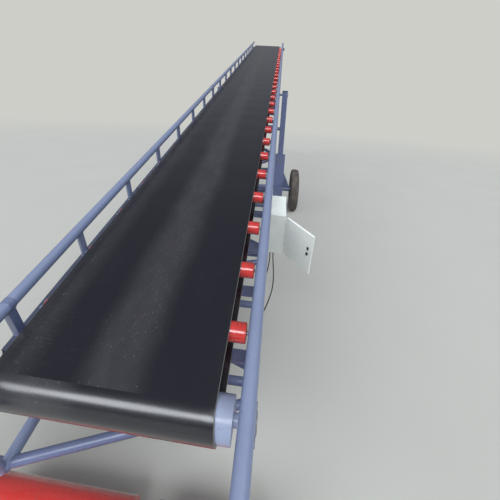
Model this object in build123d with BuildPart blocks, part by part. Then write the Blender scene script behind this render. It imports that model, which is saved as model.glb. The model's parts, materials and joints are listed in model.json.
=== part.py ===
"""Mobile belt conveyor: an inclined truss boom on a two-wheeled lifting carriage and two ground rollers.

Millimetres. +X is the right side seen from the low end, +Y is the uphill direction on the floor, +Z is up.
The origin is on the floor, under the middle of the whole machine.
"""

import os
from math import cos, hypot, radians, sin, tan

from build123d import *

os.makedirs("parts", exist_ok=True)

# Belt and boom
incline = 19.25  # degrees
belt_width = 800.0
belt_thickness = 8.0
belt_drift = -27.5  # the belt runs a little to the left of the rollers' middle
belt_height = 845.0  # top of the belt above the floor, over the tail drum
head_drum_along = 9550.0
tail_drum_along = -28.0
seat = 0.3  # clearance between pieces that rest on each other

# Rollers and drums
roller_diameter = 76.0
roller_face = 875.0
roller_pitch = 310.0
roller_count = 30
first_roller = 238.0
roller_pin_diameter = 14.0
return_roller_diameter = 60.0
return_roller_count = 4
first_return_bay = 3  # a return roller lies in the bay above this carrying roller, and then in every eighth
return_bay_step = 8
tail_drum_diameter = 130.0
head_drum_diameter = 165.0
drum_face = 857.0
drum_wall = 5.0
drum_shaft_diameter = 40.0

# Side frames
frame_half_gauge = 476.5  # middle of the boom to the middle of a side frame
rail_diameter = 50.0
tube_wall = 3.0
rail_height = 100.0  # rail above the belt's top
stringer_width = 40.0
stringer_depth = 60.0
stringer_top = -65.0
chord_diameter = 50.0
chord_level = -520.0
post_diameter = 34.0
post_pitch = 500.0
post_count = 18
first_post = 550.0
diagonal_diameter = 20.0
rail_start = -340.0
rail_end = 9480.0
stringer_start = -340.0
stringer_end = 9625.0
chord_start = -132.0
chord_end = 9050.0
bracket_thickness = 7.0
bracket_width = 44.0
crossbar_width = 45.0
crossbar_depth = 25.0
crossbar_wall = 4.0
crossbar_drop = 8.0  # from the return strand down to a crossbar
crossbar_lead = 27.0  # a crossbar lies this far downhill of its roller
crossbar_lug_width = 24.0  # lug that goes up from a crossbar's end to the stringer
return_hanger_overlap = 20.0
mast_gusset_length = 260.0  # half of the gusset's long edge
head_brace_setback = 200.0  # from the stringer's end to the head brace
brace_diameter = 40.0
brace_advance = 342.0
brace_margin = 60.0  # from a lower crossbar to the end of a brace
first_lower_crossbar = 283.0
tail_bay_length = 410.0
tail_bay_count = 3
first_long_bay = 1700.0
long_bay_length = 1000.0
long_bay_count = 8

# Tail and head bearings
bearing_plate_thickness = 8.0
bearing_block = 90.0
bearing_block_width = 38.0
bearing_corner = 12.0
shaft_slot_play = 4.0
shaft_slot_length = 180.0
take_up_screw_diameter = 18.0
take_up_screw_length = 272.0
take_up_screw_level = -84.0
take_up_lug = 20.0  # lug through the stringer's slot, which the screw pulls
take_up_lug_setback = 45.0
shaft_overhang = 3.0

# Ground rollers
ground_roller_diameter = 219.0
ground_roller_wall = 6.0
ground_roller_outer = 596.0  # outer ends from the middle
ground_roller_inner = {"left": 45.0, "right": 135.0}  # inner ends, as the photograph shows the left one
ground_roller_edge = 5.0
ground_roller_forward = 46.0  # axis from the tail end of the belt's top
ground_shaft_diameter = 40.0
hanger_thickness = 10.0
hanger_width = 70.0
hanger_gap = 6.0  # from a ground roller's end to its hanger
journal_diameter = 36.0  # free end of the ground shaft, outside the hanger
journal_length = 26.0
journal_groove = 3.0  # width and depth of the relief groove behind the journal
journal_chamfer = 2.0

# Carriage, mast and wheels
wheel_forward = 4450.0  # axle from the tail end of the belt's top
wheel_half_track = 890.0
tyre_diameter = 765.0
tyre_width = 145.0
tyre_wall = 12.0
rim_diameter = 406.0
rim_width = 112.0
rim_wall = 5.0
rim_flange = 14.0
bead_rise = 6.0  # tyre above the rim's flange
sidewall_foot = 60.0  # widest part of the tyre above the rim
shoulder_drop = 50.0
shoulder_inset = 22.0
inner_shoulder_drop = 55.0
inner_shoulder_inset = 30.0
disc_thickness = 8.0
hub_wall = 18.0
hub_reach = 60.0
axle_diameter = 50.0
axle_overhang = 72.0  # stub axle beyond the middle of the wheel
axle_collar_rise = 12.0
axle_collar_gap = 8.0  # from the collar to the rim
axle_beam_size = 80.0
axle_beam_wall = 6.0
housing_half_gauge = 594.0
housing_width = 178.0
housing_depth = 140.0
housing_wall = 6.0
housing_bottom = 200.0
housing_top = 1030.0
foot_thickness = 8.0
guide_height = 30.0
band_size = 12.0
band_height = 446.0
tie_height = 975.0
tie_diameter = 60.0
tie_brace_inset = 40.0  # from the housing to the foot of a tie's brace
tie_brace_rise = 20.0  # from the axle beam's top to the foot of a tie's brace
column_size = 94.0
column_wall = 6.0
column_bottom = 650.0
column_top = 2168.0
column_gap = 0.5  # between a column and what guides it
shoe_height = 40.0
boss_diameter = 64.0
mast_tie_height = 1500.0
cap_height = 22.0
cap_overhang = 3.0
cap_corner = 8.0
mast_pin_height = 2120.0
mast_pin_diameter = 40.0
mast_pin_overhang = 12.0
running_gap = 0.05  # radial clearance of a shaft in its bore
strut_diameter = 50.0
strut_eye_diameter = 74.0
strut_pin_diameter = 30.0
strut_foot_setback = 45.0  # foot pin behind the axle beam's face
strut_pin_drop = 80.0  # boom pin below the lower chord's middle
strut_eye_width = 36.0
strut_eye_play = 10.5  # radial room of the open pivot at the boom pin
cheek_thickness = 8.0
cheek_gap = 2.0

# Control cabinet
cabinet_start = 1173.0
cabinet_length = 238.0
cabinet_top = -190.0
cabinet_height = 370.0
cabinet_depth = 108.0
cabinet_inner = 504.0
cabinet_wall = 3.0
cabinet_corner = 4.0
cabinet_bracket_inset = 50.0
cabinet_bracket_width = 30.0
cabinet_bracket_overlap = 15.0
door_height = 345.0
door_drop = 5.0  # top of the door below the cabinet's top
door_thickness = 14.0
door_open = 134.0  # degrees from closed, as it stands
door_gap = 2.0
door_margin = 12.0  # flange round the opening
door_free_gap = 6.0  # between the door and the hinge rod
hinge_rod = 6.0
knuckle = 12.0
hinge_back = 8.0  # hinge rod downhill of the cabinet
hinge_inset = 20.0  # middle of a hinge from the door's end
hinge_height = 16.0
hinge_notch = 24.0
hinge_notch_reach = (30.0, 32.0)
leaf_thickness = 3.0
leaf_reach = 10.0
leaf_foot = 12.0
barrel_inset = 40.0
barrel_web = (4.0, 16.0)

# Cable glands and leads
gland_diameter = 18.0
gland_length = 26.0
gland_reach = (14.0, 38.0)  # the two glands from the cabinet's back
gland_inset = 32.0  # from the cabinet's downhill side
loop_gland_along = 1100.0
slant_gland_along = 620.0
slant_gland_length = 75.0
slant_shares = (0.25, 0.8, -0.55)  # of right, uphill and normal in the slanted gland's direction
lead_diameter = 8.0
lead_straight = 34.0  # at both ends of a lead
lead_bend_share = 0.45  # of the shorter run that a bend may use

# Slope of the boom
slope_cos = cos(radians(incline))
slope_sin = sin(radians(incline))
right = Vector(1, 0, 0)
uphill = Vector(0, slope_cos, slope_sin)
normal = Vector(0, -slope_sin, slope_cos)

tail_drum_radius = tail_drum_diameter / 2
head_drum_radius = head_drum_diameter / 2
tail_axis_level = -belt_thickness - seat - tail_drum_radius
head_axis_level = -belt_thickness - seat - head_drum_radius

# The origin is half way between the ends of the guard rails and the belt's head end
tail_reach = rail_start * slope_cos - (rail_height + rail_diameter / 2) * slope_sin
head_belt_radius = head_drum_radius + seat + belt_thickness
head_reach = head_drum_along * slope_cos - head_axis_level * slope_sin + head_belt_radius
origin_forward = (tail_reach + head_reach) / 2
belt_start = Vector(0, -origin_forward, belt_height)


def on_boom(across: float, along: float, above: float) -> Vector:
    """Point of the boom: across to the right, along uphill, above the belt's top."""
    return belt_start + right * across + uphill * along + normal * above


def side_plane(across: float) -> Plane:
    """Plane of a side view of the boom: its x is uphill, its y is above the belt, it faces right."""
    return Plane(origin=on_boom(across, 0, 0), x_dir=uphill, z_dir=right)


def deck_plane(above: float) -> Plane:
    """Plane parallel to the belt: its x is right, its y is uphill."""
    return Plane(origin=on_boom(0, 0, above), x_dir=right, z_dir=normal)


def section_plane(along: float) -> Plane:
    """Plane across the boom that faces downhill: its x is right, its y is above the belt."""
    return Plane(origin=on_boom(0, along, 0), x_dir=right, z_dir=-uphill)


def ground_point(across: float, forward: float, height: float) -> Vector:
    """Point given from the floor: forward counts from the tail end of the belt's top."""
    return Vector(across, forward - origin_forward, height)


def bar_plane(start: Vector, end: Vector) -> Plane:
    """Plane at the start of a straight bar, facing along it."""
    return Plane(origin=start, z_dir=end - start)


sides = {"left": -1, "right": 1}
roller_radius = roller_diameter / 2
roller_level = -belt_thickness - seat - roller_radius
roller_places = [first_roller + roller_pitch * i for i in range(roller_count)]
post_places = [first_post + post_pitch * i for i in range(post_count)]
stringer_middle = stringer_top - stringer_depth / 2
stringer_bottom = stringer_top - stringer_depth
stringer_inner = frame_half_gauge - stringer_width / 2
stringer_outer = frame_half_gauge + stringer_width / 2

# Return strand: the lower tangent of the two drums
tail_belt_radius = tail_drum_radius + seat + belt_thickness
strand_drop = head_belt_radius - tail_belt_radius
centre_drop = tail_axis_level - head_axis_level
strand_start = tail_axis_level - tail_belt_radius
strand_slope = (strand_drop + centre_drop) / (head_drum_along - tail_drum_along)
return_bays = [first_return_bay + return_bay_step * i for i in range(return_roller_count)]
return_places = [roller_places[bay] + roller_pitch / 2 for bay in return_bays]


def strand_level(along: float) -> float:
    """Level of the return strand's lower face."""
    return strand_start - strand_slope * (along - tail_drum_along)


def return_axis(along: float) -> float:
    """Level of a return roller's axis under the return strand."""
    return strand_level(along) - return_roller_diameter / 2 - 2 * seat


# Belt: one closed loop round both drums
with BuildPart() as belt:
    with BuildSketch(side_plane(belt_drift - belt_width / 2)):
        with Locations((tail_drum_along, tail_axis_level)):
            Circle(tail_belt_radius)
        with Locations((head_drum_along, head_axis_level)):
            Circle(head_belt_radius)
        make_hull()
        with BuildSketch(mode=Mode.SUBTRACT):
            with Locations((tail_drum_along, tail_axis_level)):
                Circle(tail_drum_radius + seat)
            with Locations((head_drum_along, head_axis_level)):
                Circle(head_drum_radius + seat)
            make_hull()
    extrude(amount=belt_width)
belt.part.label = "belt"
export_step(belt.part, "parts/belt.step")

# Drums: a hollow shell closed by end discs, on a shaft
block_inner = stringer_outer + seat
tail_shaft_half = block_inner + bearing_plate_thickness + shaft_overhang
head_shaft_half = block_inner + bearing_block_width + shaft_overhang
drum_table = (
    # name, diameter, along, axis level, half of the shaft
    ("tail_drum", tail_drum_diameter, tail_drum_along, tail_axis_level, tail_shaft_half),
    ("head_drum", head_drum_diameter, head_drum_along, head_axis_level, head_shaft_half),
)
for drum_name, drum_diameter, drum_along, drum_level, shaft_half_length in drum_table:
    axis_plane = Plane(
        origin=on_boom(0, drum_along, drum_level), x_dir=right, z_dir=uphill
    )
    with BuildPart() as drum:
        with BuildSketch(axis_plane):
            with Locations((0, -drum_diameter / 4)):
                Rectangle(drum_face, drum_diameter / 2)
            with Locations((0, -drum_shaft_diameter / 4)):
                Rectangle(2 * shaft_half_length, drum_shaft_diameter / 2)
            hollow = drum_diameter / 2 - drum_wall - drum_shaft_diameter / 2
            with Locations((0, -drum_shaft_diameter / 2 - hollow / 2)):
                Rectangle(drum_face - 2 * drum_wall, hollow, mode=Mode.SUBTRACT)
        revolve(axis=Axis(axis_plane.origin, right))
    drum.part.label = drum_name
    export_step(drum.part, f"parts/{drum_name}.step")

# Carrying rollers, on pins that drop into the slotted brackets
pin_half_length = stringer_inner - seat
with BuildPart() as carry_rollers:
    with BuildSketch(side_plane(-roller_face / 2)):
        with Locations(*[(along, roller_level) for along in roller_places]):
            Circle(roller_radius)
    extrude(amount=roller_face)
    with BuildSketch(side_plane(-pin_half_length)):
        with Locations(*[(along, roller_level) for along in roller_places]):
            Circle(roller_pin_diameter / 2)
    extrude(amount=2 * pin_half_length)
carry_rollers.part.label = "carry_rollers"
export_step(carry_rollers.part, "parts/carry_rollers.step")

# Return rollers under the lower strand
with BuildPart() as return_rollers:
    with BuildSketch(side_plane(-roller_face / 2)):
        with Locations(*[(along, return_axis(along)) for along in return_places]):
            Circle(return_roller_diameter / 2)
    extrude(amount=roller_face)
    with BuildSketch(side_plane(-pin_half_length)):
        with Locations(*[(along, return_axis(along)) for along in return_places]):
            Circle(roller_pin_diameter / 2)
    extrude(amount=2 * pin_half_length)
return_rollers.part.label = "return_rollers"
export_step(return_rollers.part, "parts/return_rollers.step")

# Side frames: guard rail, stringer and lower chord, joined by posts and diagonals
slot_width = roller_pin_diameter + 2 * seat
bracket_top = roller_level + roller_pin_diameter
bracket_height = bracket_top - stringer_bottom
hanger_top = stringer_bottom + return_hanger_overlap
rail_radius = rail_diameter / 2
chord_radius = chord_diameter / 2
shaft_slot_width = drum_shaft_diameter + shaft_slot_play
axle_height = tyre_diameter / 2


def boom_place(forward: float, height: float) -> tuple[float, float]:
    """Along and above of a point that is given from the floor."""
    offset = ground_point(0, forward, height) - belt_start
    return offset.dot(uphill), offset.dot(normal)


mast_pin_along, mast_pin_above = boom_place(wheel_forward, mast_pin_height)

# Strut: its boom pin sits where the strut keeps its length while the boom lifts about the mast pin and
# the ground rollers stay down. strut_line is the height of the pin's path at forward 0.
strut_level = chord_level - strut_pin_drop
strut_line = belt_height + strut_level / slope_cos
strut_slope = slope_sin / slope_cos
strut_foot_forward = wheel_forward - axle_beam_size / 2 - strut_foot_setback
pin_to_line = mast_pin_height - strut_line
foot_to_line = axle_height - strut_line
strut_head_forward = (strut_foot_forward * pin_to_line - foot_to_line * ground_roller_forward) / (
    pin_to_line + strut_foot_forward * strut_slope - ground_roller_forward * strut_slope - foot_to_line
)
strut_head_height = strut_line + strut_head_forward * strut_slope
strut_head_along = boom_place(strut_head_forward, strut_head_height)[0]
mast_pin_end = housing_half_gauge + column_size / 2 + mast_pin_overhang
cheek_reach = strut_eye_width / 2 + cheek_gap + cheek_thickness

for side_name, side in sides.items():
    across = side * frame_half_gauge
    inner_face = side * stringer_inner
    bracket_start = inner_face if side < 0 else inner_face - bracket_thickness
    diagonal_planes = []
    diagonal_length = hypot(post_pitch, stringer_middle - chord_level)
    for i, along in enumerate(post_places[:-1]):
        low, high = (0, 1) if i % 2 else (1, 0)
        start = on_boom(across, along + low * post_pitch, chord_level)
        end = on_boom(across, along + high * post_pitch, stringer_middle)
        diagonal_planes.append(bar_plane(start, end))
    with BuildPart() as side_frame:
        # Rail, chord, stringer, posts and diagonals; the bores follow
        with BuildSketch(section_plane(rail_start)):
            with Locations((across, rail_height)):
                Circle(rail_radius)
        extrude(amount=rail_start - rail_end)
        with BuildSketch(section_plane(chord_start)):
            with Locations((across, chord_level)):
                Circle(chord_radius)
        extrude(amount=chord_start - chord_end)
        with BuildSketch(section_plane(stringer_start)):
            with Locations((across, stringer_middle)):
                Rectangle(stringer_width, stringer_depth)
        extrude(amount=stringer_start - stringer_end)
        with BuildSketch(deck_plane(chord_level)):
            with Locations(*[(across, along) for along in post_places]):
                Circle(post_diameter / 2)
        extrude(amount=rail_height - chord_level)
        with BuildSketch(*diagonal_planes):
            Circle(diagonal_diameter / 2)
        extrude(amount=diagonal_length)
        # Tail post, tail brace and head brace
        end_bars = (
            # start, end, radius
            (on_boom(across, rail_start + rail_radius, stringer_middle),
             on_boom(across, rail_start + rail_radius, rail_height), post_diameter / 2),
            (on_boom(across, chord_start, chord_level),
             on_boom(across, chord_start, stringer_middle), post_diameter / 2),
            (on_boom(across, chord_end, chord_level),
             on_boom(across, stringer_end - head_brace_setback, stringer_middle), chord_radius),
        )
        for start, end, radius in end_bars:
            with BuildSketch(bar_plane(start, end)):
                Circle(radius)
            extrude(amount=(end - start).length)
        # Bores of the rail, the chord, the stringer and the posts
        with BuildSketch(section_plane(rail_start)):
            with Locations((across, rail_height)):
                Circle(rail_radius - tube_wall)
        extrude(amount=rail_start - rail_end, mode=Mode.SUBTRACT)
        with BuildSketch(section_plane(chord_start)):
            with Locations((across, chord_level)):
                Circle(chord_radius - tube_wall)
        extrude(amount=chord_start - chord_end, mode=Mode.SUBTRACT)
        with BuildSketch(section_plane(stringer_start)):
            with Locations((across, stringer_middle)):
                Rectangle(stringer_width - 2 * tube_wall, stringer_depth - 2 * tube_wall)
        extrude(amount=stringer_start - stringer_end, mode=Mode.SUBTRACT)
        post_spans = (
            (chord_level + chord_radius, stringer_bottom),
            (stringer_top, rail_height - rail_radius),
        )
        for low, high in post_spans:
            with BuildSketch(deck_plane(low)):
                with Locations(*[(across, along) for along in post_places]):
                    Circle(post_diameter / 2 - tube_wall)
            extrude(amount=high - low, mode=Mode.SUBTRACT)
        # Slotted brackets for the carrying rollers, hangers for the return rollers
        with BuildSketch(side_plane(bracket_start)):
            with Locations(*[(along, (bracket_top + stringer_bottom) / 2) for along in roller_places]):
                Rectangle(bracket_width, bracket_height)
            with Locations(*[(along, roller_level) for along in roller_places]):
                Circle(slot_width / 2, mode=Mode.SUBTRACT)
            with Locations(*[(along, (bracket_top + roller_level) / 2) for along in roller_places]):
                Rectangle(slot_width, bracket_top - roller_level, mode=Mode.SUBTRACT)
            for along in return_places:
                level = return_axis(along)
                with Locations((along, (hanger_top + level - roller_pin_diameter) / 2)):
                    Rectangle(bracket_width, hanger_top - level + roller_pin_diameter)
                with Locations((along, level)):
                    Circle(slot_width / 2, mode=Mode.SUBTRACT)
        extrude(amount=bracket_thickness)
        # Slots for the tail drum's shaft and a hole for the head drum's
        with BuildSketch(side_plane(across - stringer_width)):
            with Locations((tail_drum_along, tail_axis_level)):
                SlotOverall(shaft_slot_length, shaft_slot_width)
            with Locations((head_drum_along, head_axis_level)):
                Circle(shaft_slot_width / 2)
        extrude(amount=2 * stringer_width, mode=Mode.SUBTRACT)
        # Gusset that carries the mast pin
        gusset_start = side * stringer_outer if side < 0 else stringer_outer - bearing_plate_thickness
        with BuildSketch(side_plane(gusset_start)):
            with BuildLine():
                Polyline(
                    (mast_pin_along - mast_gusset_length, stringer_middle),
                    (mast_pin_along + mast_gusset_length, stringer_middle),
                    (mast_pin_along + mast_gusset_length / 2, chord_level),
                    (mast_pin_along - mast_gusset_length / 2, chord_level),
                    close=True,
                )
            make_face()
        extrude(amount=bearing_plate_thickness)
        # Mast pin
        pin_start = side * stringer_outer - bearing_plate_thickness if side > 0 else -mast_pin_end
        with BuildSketch(side_plane(pin_start)):
            with Locations((mast_pin_along, mast_pin_above)):
                Circle(mast_pin_diameter / 2)
        extrude(amount=mast_pin_end - stringer_outer + bearing_plate_thickness)
        # Cheeks and pin for the strut under the lower chord
        for cheek_start in (across - cheek_reach, across + cheek_reach - cheek_thickness):
            with BuildSketch(side_plane(cheek_start)):
                with Locations((strut_head_along, strut_level)):
                    Circle(strut_eye_diameter / 2)
                with Locations((strut_head_along, (strut_level + chord_level) / 2)):
                    Rectangle(strut_eye_diameter, chord_level - strut_level)
            extrude(amount=cheek_thickness)
        with BuildSketch(side_plane(across - cheek_reach)):
            with Locations((strut_head_along, strut_level)):
                Circle(strut_pin_diameter / 2)
        extrude(amount=2 * cheek_reach)
    side_frame.part.label = f"side_frame_{side_name}"
    export_step(side_frame.part, f"parts/side_frame_{side_name}.step")

# Deck crossbars: channels under the return strand, with lugs up to the stringers beside the roller brackets
crossbar_places = [along - crossbar_lead for along in roller_places]
crossbar_levels = [strand_level(along) - crossbar_drop - crossbar_depth / 2 for along in crossbar_places]
lug_offset = (crossbar_width - crossbar_lug_width) / 2
with BuildPart() as deck_crossbars:
    with BuildSketch(side_plane(-pin_half_length)):
        with Locations(*zip(crossbar_places, crossbar_levels)):
            Rectangle(crossbar_width, crossbar_depth)
            with Locations((0, -crossbar_wall)):
                Rectangle(crossbar_width - 2 * crossbar_wall, crossbar_depth, mode=Mode.SUBTRACT)
    extrude(amount=2 * pin_half_length)
    for lug_start in (-pin_half_length, pin_half_length - bracket_thickness):
        with BuildSketch(side_plane(lug_start)):
            for along, level in zip(crossbar_places, crossbar_levels):
                lug_bottom = level + crossbar_depth / 2 - crossbar_wall / 2
                with Locations((along - lug_offset, (stringer_middle + lug_bottom) / 2)):
                    Rectangle(crossbar_lug_width, stringer_middle - lug_bottom)
        extrude(amount=bracket_thickness)
deck_crossbars.part.label = "deck_crossbars"
export_step(deck_crossbars.part, "parts/deck_crossbars.step")

# Lower crossbars and diagonals, coped to the lower chords
lower_places = [first_lower_crossbar + tail_bay_length * i for i in range(tail_bay_count)]
lower_places += [first_long_bay + long_bay_length * i for i in range(long_bay_count)]
with BuildPart() as lower_crossbars:
    with BuildSketch(side_plane(-frame_half_gauge)):
        with Locations(*[(along, chord_level) for along in lower_places]):
            Circle(brace_diameter / 2)
            Circle(brace_diameter / 2 - tube_wall, mode=Mode.SUBTRACT)
    extrude(amount=2 * frame_half_gauge)
    with BuildSketch(section_plane(rail_start)):
        with Locations((-frame_half_gauge, chord_level), (frame_half_gauge, chord_level)):
            Circle(chord_radius + seat)
    extrude(amount=rail_start - stringer_end, mode=Mode.SUBTRACT)
lower_crossbars.part.label = "lower_crossbars"
export_step(lower_crossbars.part, "parts/lower_crossbars.step")

# From side, from along, to along
brace_table = [(-1, chord_start + brace_diameter / 2, chord_start + brace_advance)]
for i, (low, high) in enumerate(zip(lower_places, lower_places[1:])):
    brace_table.append((-1 if i % 2 else 1, low + brace_margin, high - brace_margin))
with BuildPart() as lower_bracing:
    for from_side, from_along, to_along in brace_table:
        start = on_boom(from_side * frame_half_gauge, from_along, chord_level)
        end = on_boom(-from_side * frame_half_gauge, to_along, chord_level)
        with BuildSketch(bar_plane(start, end)):
            Circle(brace_diameter / 2)
            Circle(brace_diameter / 2 - tube_wall, mode=Mode.SUBTRACT)
        extrude(amount=(end - start).length)
    with BuildSketch(section_plane(rail_start)):
        with Locations((-frame_half_gauge, chord_level), (frame_half_gauge, chord_level)):
            Circle(chord_radius + seat)
    extrude(amount=rail_start - stringer_end, mode=Mode.SUBTRACT)
lower_bracing.part.label = "lower_bracing"
export_step(lower_bracing.part, "parts/lower_bracing.step")

# Tail take-ups: a plate on the outer face of the stringer, pulled by a screw that lies inside the stringer.
# Head bearings: a block on the outer face of the stringer.
lug_along = tail_drum_along - take_up_lug_setback
lug_inner = stringer_inner + 2 * tube_wall
for side_name, side in sides.items():
    plate_start = block_inner if side > 0 else -block_inner - bearing_plate_thickness
    block_start = block_inner if side > 0 else -block_inner - bearing_block_width
    lug_length = block_inner + bearing_plate_thickness - lug_inner
    with BuildPart() as tail_take_up:
        with BuildSketch(side_plane(plate_start)):
            with Locations((tail_drum_along, tail_axis_level)):
                RectangleRounded(bearing_block, bearing_block, bearing_corner)
                Circle(drum_shaft_diameter / 2 + running_gap, mode=Mode.SUBTRACT)
        extrude(amount=bearing_plate_thickness)
        with BuildSketch(side_plane(lug_inner if side > 0 else -lug_inner - lug_length)):
            with Locations((lug_along, take_up_screw_level)):
                Rectangle(take_up_lug, take_up_lug)
        extrude(amount=lug_length)
        with BuildSketch(section_plane(lug_along)):
            with Locations((side * frame_half_gauge, take_up_screw_level)):
                Circle(take_up_screw_diameter / 2)
        extrude(amount=take_up_screw_length)
    tail_take_up.part.label = f"tail_take_up_{side_name}"
    export_step(tail_take_up.part, f"parts/tail_take_up_{side_name}.step")

    with BuildPart() as head_bearing:
        with BuildSketch(side_plane(block_start)):
            with Locations((head_drum_along, head_axis_level)):
                RectangleRounded(bearing_block, bearing_block, bearing_corner)
                Circle(drum_shaft_diameter / 2 + running_gap, mode=Mode.SUBTRACT)
        extrude(amount=bearing_block_width)
    head_bearing.part.label = f"head_bearing_{side_name}"
    export_step(head_bearing.part, f"parts/head_bearing_{side_name}.step")

# Ground rollers, their shaft and the hangers at the tail
ground_height = ground_roller_diameter / 2
hanger_inner = ground_roller_outer + hanger_gap
chord_tip = on_boom(0, chord_start, chord_level)


def ground_plane(across: float) -> Plane:
    """Plane of a side view from the floor: its x is forward, its y is up, it faces right."""
    return Plane(origin=(across, -origin_forward, 0), x_dir=(0, 1, 0), z_dir=right)


shoulder = hanger_inner + hanger_thickness + journal_groove
journal_start = shoulder + journal_groove
journal_end = journal_start + journal_length
shaft_axis = Plane(
    origin=ground_point(0, ground_roller_forward, ground_height), x_dir=right, z_dir=(0, -1, 0)
)
with BuildPart() as ground_shaft:
    with BuildSketch(shaft_axis):
        with BuildLine():
            Polyline(
                (0, 0),
                (0, ground_shaft_diameter / 2),
                (shoulder, ground_shaft_diameter / 2),
                (shoulder, journal_diameter / 2 - journal_groove),
                (journal_start, journal_diameter / 2 - journal_groove),
                (journal_start, journal_diameter / 2),
                (journal_end, journal_diameter / 2),
                (journal_end + journal_chamfer, journal_diameter / 2 - journal_chamfer),
                (journal_end + journal_chamfer, 0),
                close=True,
            )
        make_face()
    revolve(axis=Axis(shaft_axis.origin, right))
    mirror(about=Plane.YZ)
ground_shaft.part.label = "ground_shaft"
export_step(ground_shaft.part, "parts/ground_shaft.step")

chord_tip_forward = chord_tip.Y + origin_forward
for side_name, side in sides.items():
    inner_end = ground_roller_inner[side_name]
    roller_start = inner_end if side > 0 else -ground_roller_outer
    roller_length = ground_roller_outer - side * inner_end
    with BuildPart() as ground_roller:
        with BuildSketch(ground_plane(roller_start)):
            with Locations((ground_roller_forward, ground_height)):
                Circle(ground_roller_diameter / 2)
        extrude(amount=roller_length)
        fillet(ground_roller.edges().filter_by(GeomType.CIRCLE), radius=ground_roller_edge)
        with BuildSketch(ground_plane(roller_start + ground_roller_wall)):
            with Locations((ground_roller_forward, ground_height)):
                Circle(ground_roller_diameter / 2 - ground_roller_wall)
                Circle(ground_shaft_diameter / 2 + ground_roller_wall, mode=Mode.SUBTRACT)
        extrude(amount=roller_length - 2 * ground_roller_wall, mode=Mode.SUBTRACT)
        with BuildSketch(ground_plane(roller_start)):
            with Locations((ground_roller_forward, ground_height)):
                Circle(ground_shaft_diameter / 2 + running_gap)
        extrude(amount=roller_length, mode=Mode.SUBTRACT)
    ground_roller.part.label = f"ground_roller_{side_name}"
    export_step(ground_roller.part, f"parts/ground_roller_{side_name}.step")

    hanger_start = hanger_inner if side > 0 else -hanger_inner - hanger_thickness
    stub_inner = frame_half_gauge + chord_radius + seat
    stub_length = hanger_inner + hanger_thickness - stub_inner
    with BuildPart() as roller_hanger:
        with BuildSketch(ground_plane(hanger_start)):
            with Locations((ground_roller_forward, ground_height), (chord_tip_forward, chord_tip.Z)):
                Circle(hanger_width / 2)
            make_hull()
            with Locations((ground_roller_forward, ground_height)):
                Circle(ground_shaft_diameter / 2 + running_gap, mode=Mode.SUBTRACT)
        extrude(amount=hanger_thickness)
        with BuildSketch(ground_plane(stub_inner if side > 0 else -stub_inner - stub_length)):
            with Locations((chord_tip_forward + brace_diameter / 2, chord_tip.Z)):
                Circle(brace_diameter / 2)
        extrude(amount=stub_length)
    roller_hanger.part.label = f"roller_hanger_{side_name}"
    export_step(roller_hanger.part, f"parts/roller_hanger_{side_name}.step")

# Carriage: two housings with stub axles, joined by the axle beam and the braces
housing_inner_face = housing_half_gauge - housing_width / 2
housing_outer_face = housing_half_gauge + housing_width / 2
axle_end = wheel_half_track + axle_overhang
for side_name, side in sides.items():
    across = side * housing_half_gauge
    with BuildPart() as mast_housing:
        with BuildSketch(Plane.XY.offset(housing_bottom)):
            with Locations((across, wheel_forward - origin_forward)):
                Rectangle(housing_width, housing_depth)
        extrude(amount=housing_top - housing_bottom)
        with BuildSketch(Plane.XY.offset(band_height)):
            with Locations((across, wheel_forward - origin_forward)):
                Rectangle(housing_width - seat, housing_depth + 2 * band_size)
        extrude(amount=band_size)
        with BuildSketch(Plane.XY.offset(housing_bottom + foot_thickness)):
            with Locations((across, wheel_forward - origin_forward)):
                Rectangle(housing_width - 2 * housing_wall, housing_depth - 2 * housing_wall)
        extrude(
            amount=housing_top - housing_bottom - foot_thickness - guide_height, mode=Mode.SUBTRACT
        )
        with BuildSketch(Plane.XY.offset(housing_top - guide_height)):
            with Locations((across, wheel_forward - origin_forward)):
                Rectangle(column_size + 2 * column_gap, column_size + 2 * column_gap)
        extrude(amount=guide_height, mode=Mode.SUBTRACT)
        axle_start = housing_outer_face if side > 0 else -axle_end
        with BuildSketch(ground_plane(axle_start)):
            with Locations((wheel_forward, axle_height)):
                Circle(axle_diameter / 2)
        extrude(amount=axle_end - housing_outer_face)
        collar_width = wheel_half_track - rim_width / 2 - axle_collar_gap - housing_outer_face
        collar_start = housing_outer_face if side > 0 else -housing_outer_face - collar_width
        with BuildSketch(ground_plane(collar_start)):
            with Locations((wheel_forward, axle_height)):
                Circle(axle_diameter / 2 + axle_collar_rise)
        extrude(amount=collar_width)
    mast_housing.part.label = f"mast_housing_{side_name}"
    export_step(mast_housing.part, f"parts/mast_housing_{side_name}.step")

beam_half = housing_inner_face - seat
with BuildPart() as axle_beam:
    with BuildSketch(ground_plane(-beam_half)):
        with Locations((wheel_forward, axle_height)):
            Rectangle(axle_beam_size, axle_beam_size)
            inner_size = axle_beam_size - 2 * axle_beam_wall
            Rectangle(inner_size, inner_size, mode=Mode.SUBTRACT)
    extrude(amount=2 * beam_half)
    for side in sides.values():
        middle = side * frame_half_gauge
        for cheek_start in (middle - cheek_reach, middle + cheek_reach - cheek_thickness):
            with BuildSketch(ground_plane(cheek_start)):
                with Locations((strut_foot_forward, axle_height)):
                    Circle(strut_eye_diameter / 2)
                with Locations((strut_foot_forward + strut_foot_setback / 2, axle_height)):
                    Rectangle(strut_foot_setback, strut_eye_diameter)
            extrude(amount=cheek_thickness)
        with BuildSketch(ground_plane(middle - cheek_reach)):
            with Locations((strut_foot_forward, axle_height)):
                Circle(strut_pin_diameter / 2)
        extrude(amount=2 * cheek_reach)
axle_beam.part.label = "axle_beam"
export_step(axle_beam.part, "parts/axle_beam.step")

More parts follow.
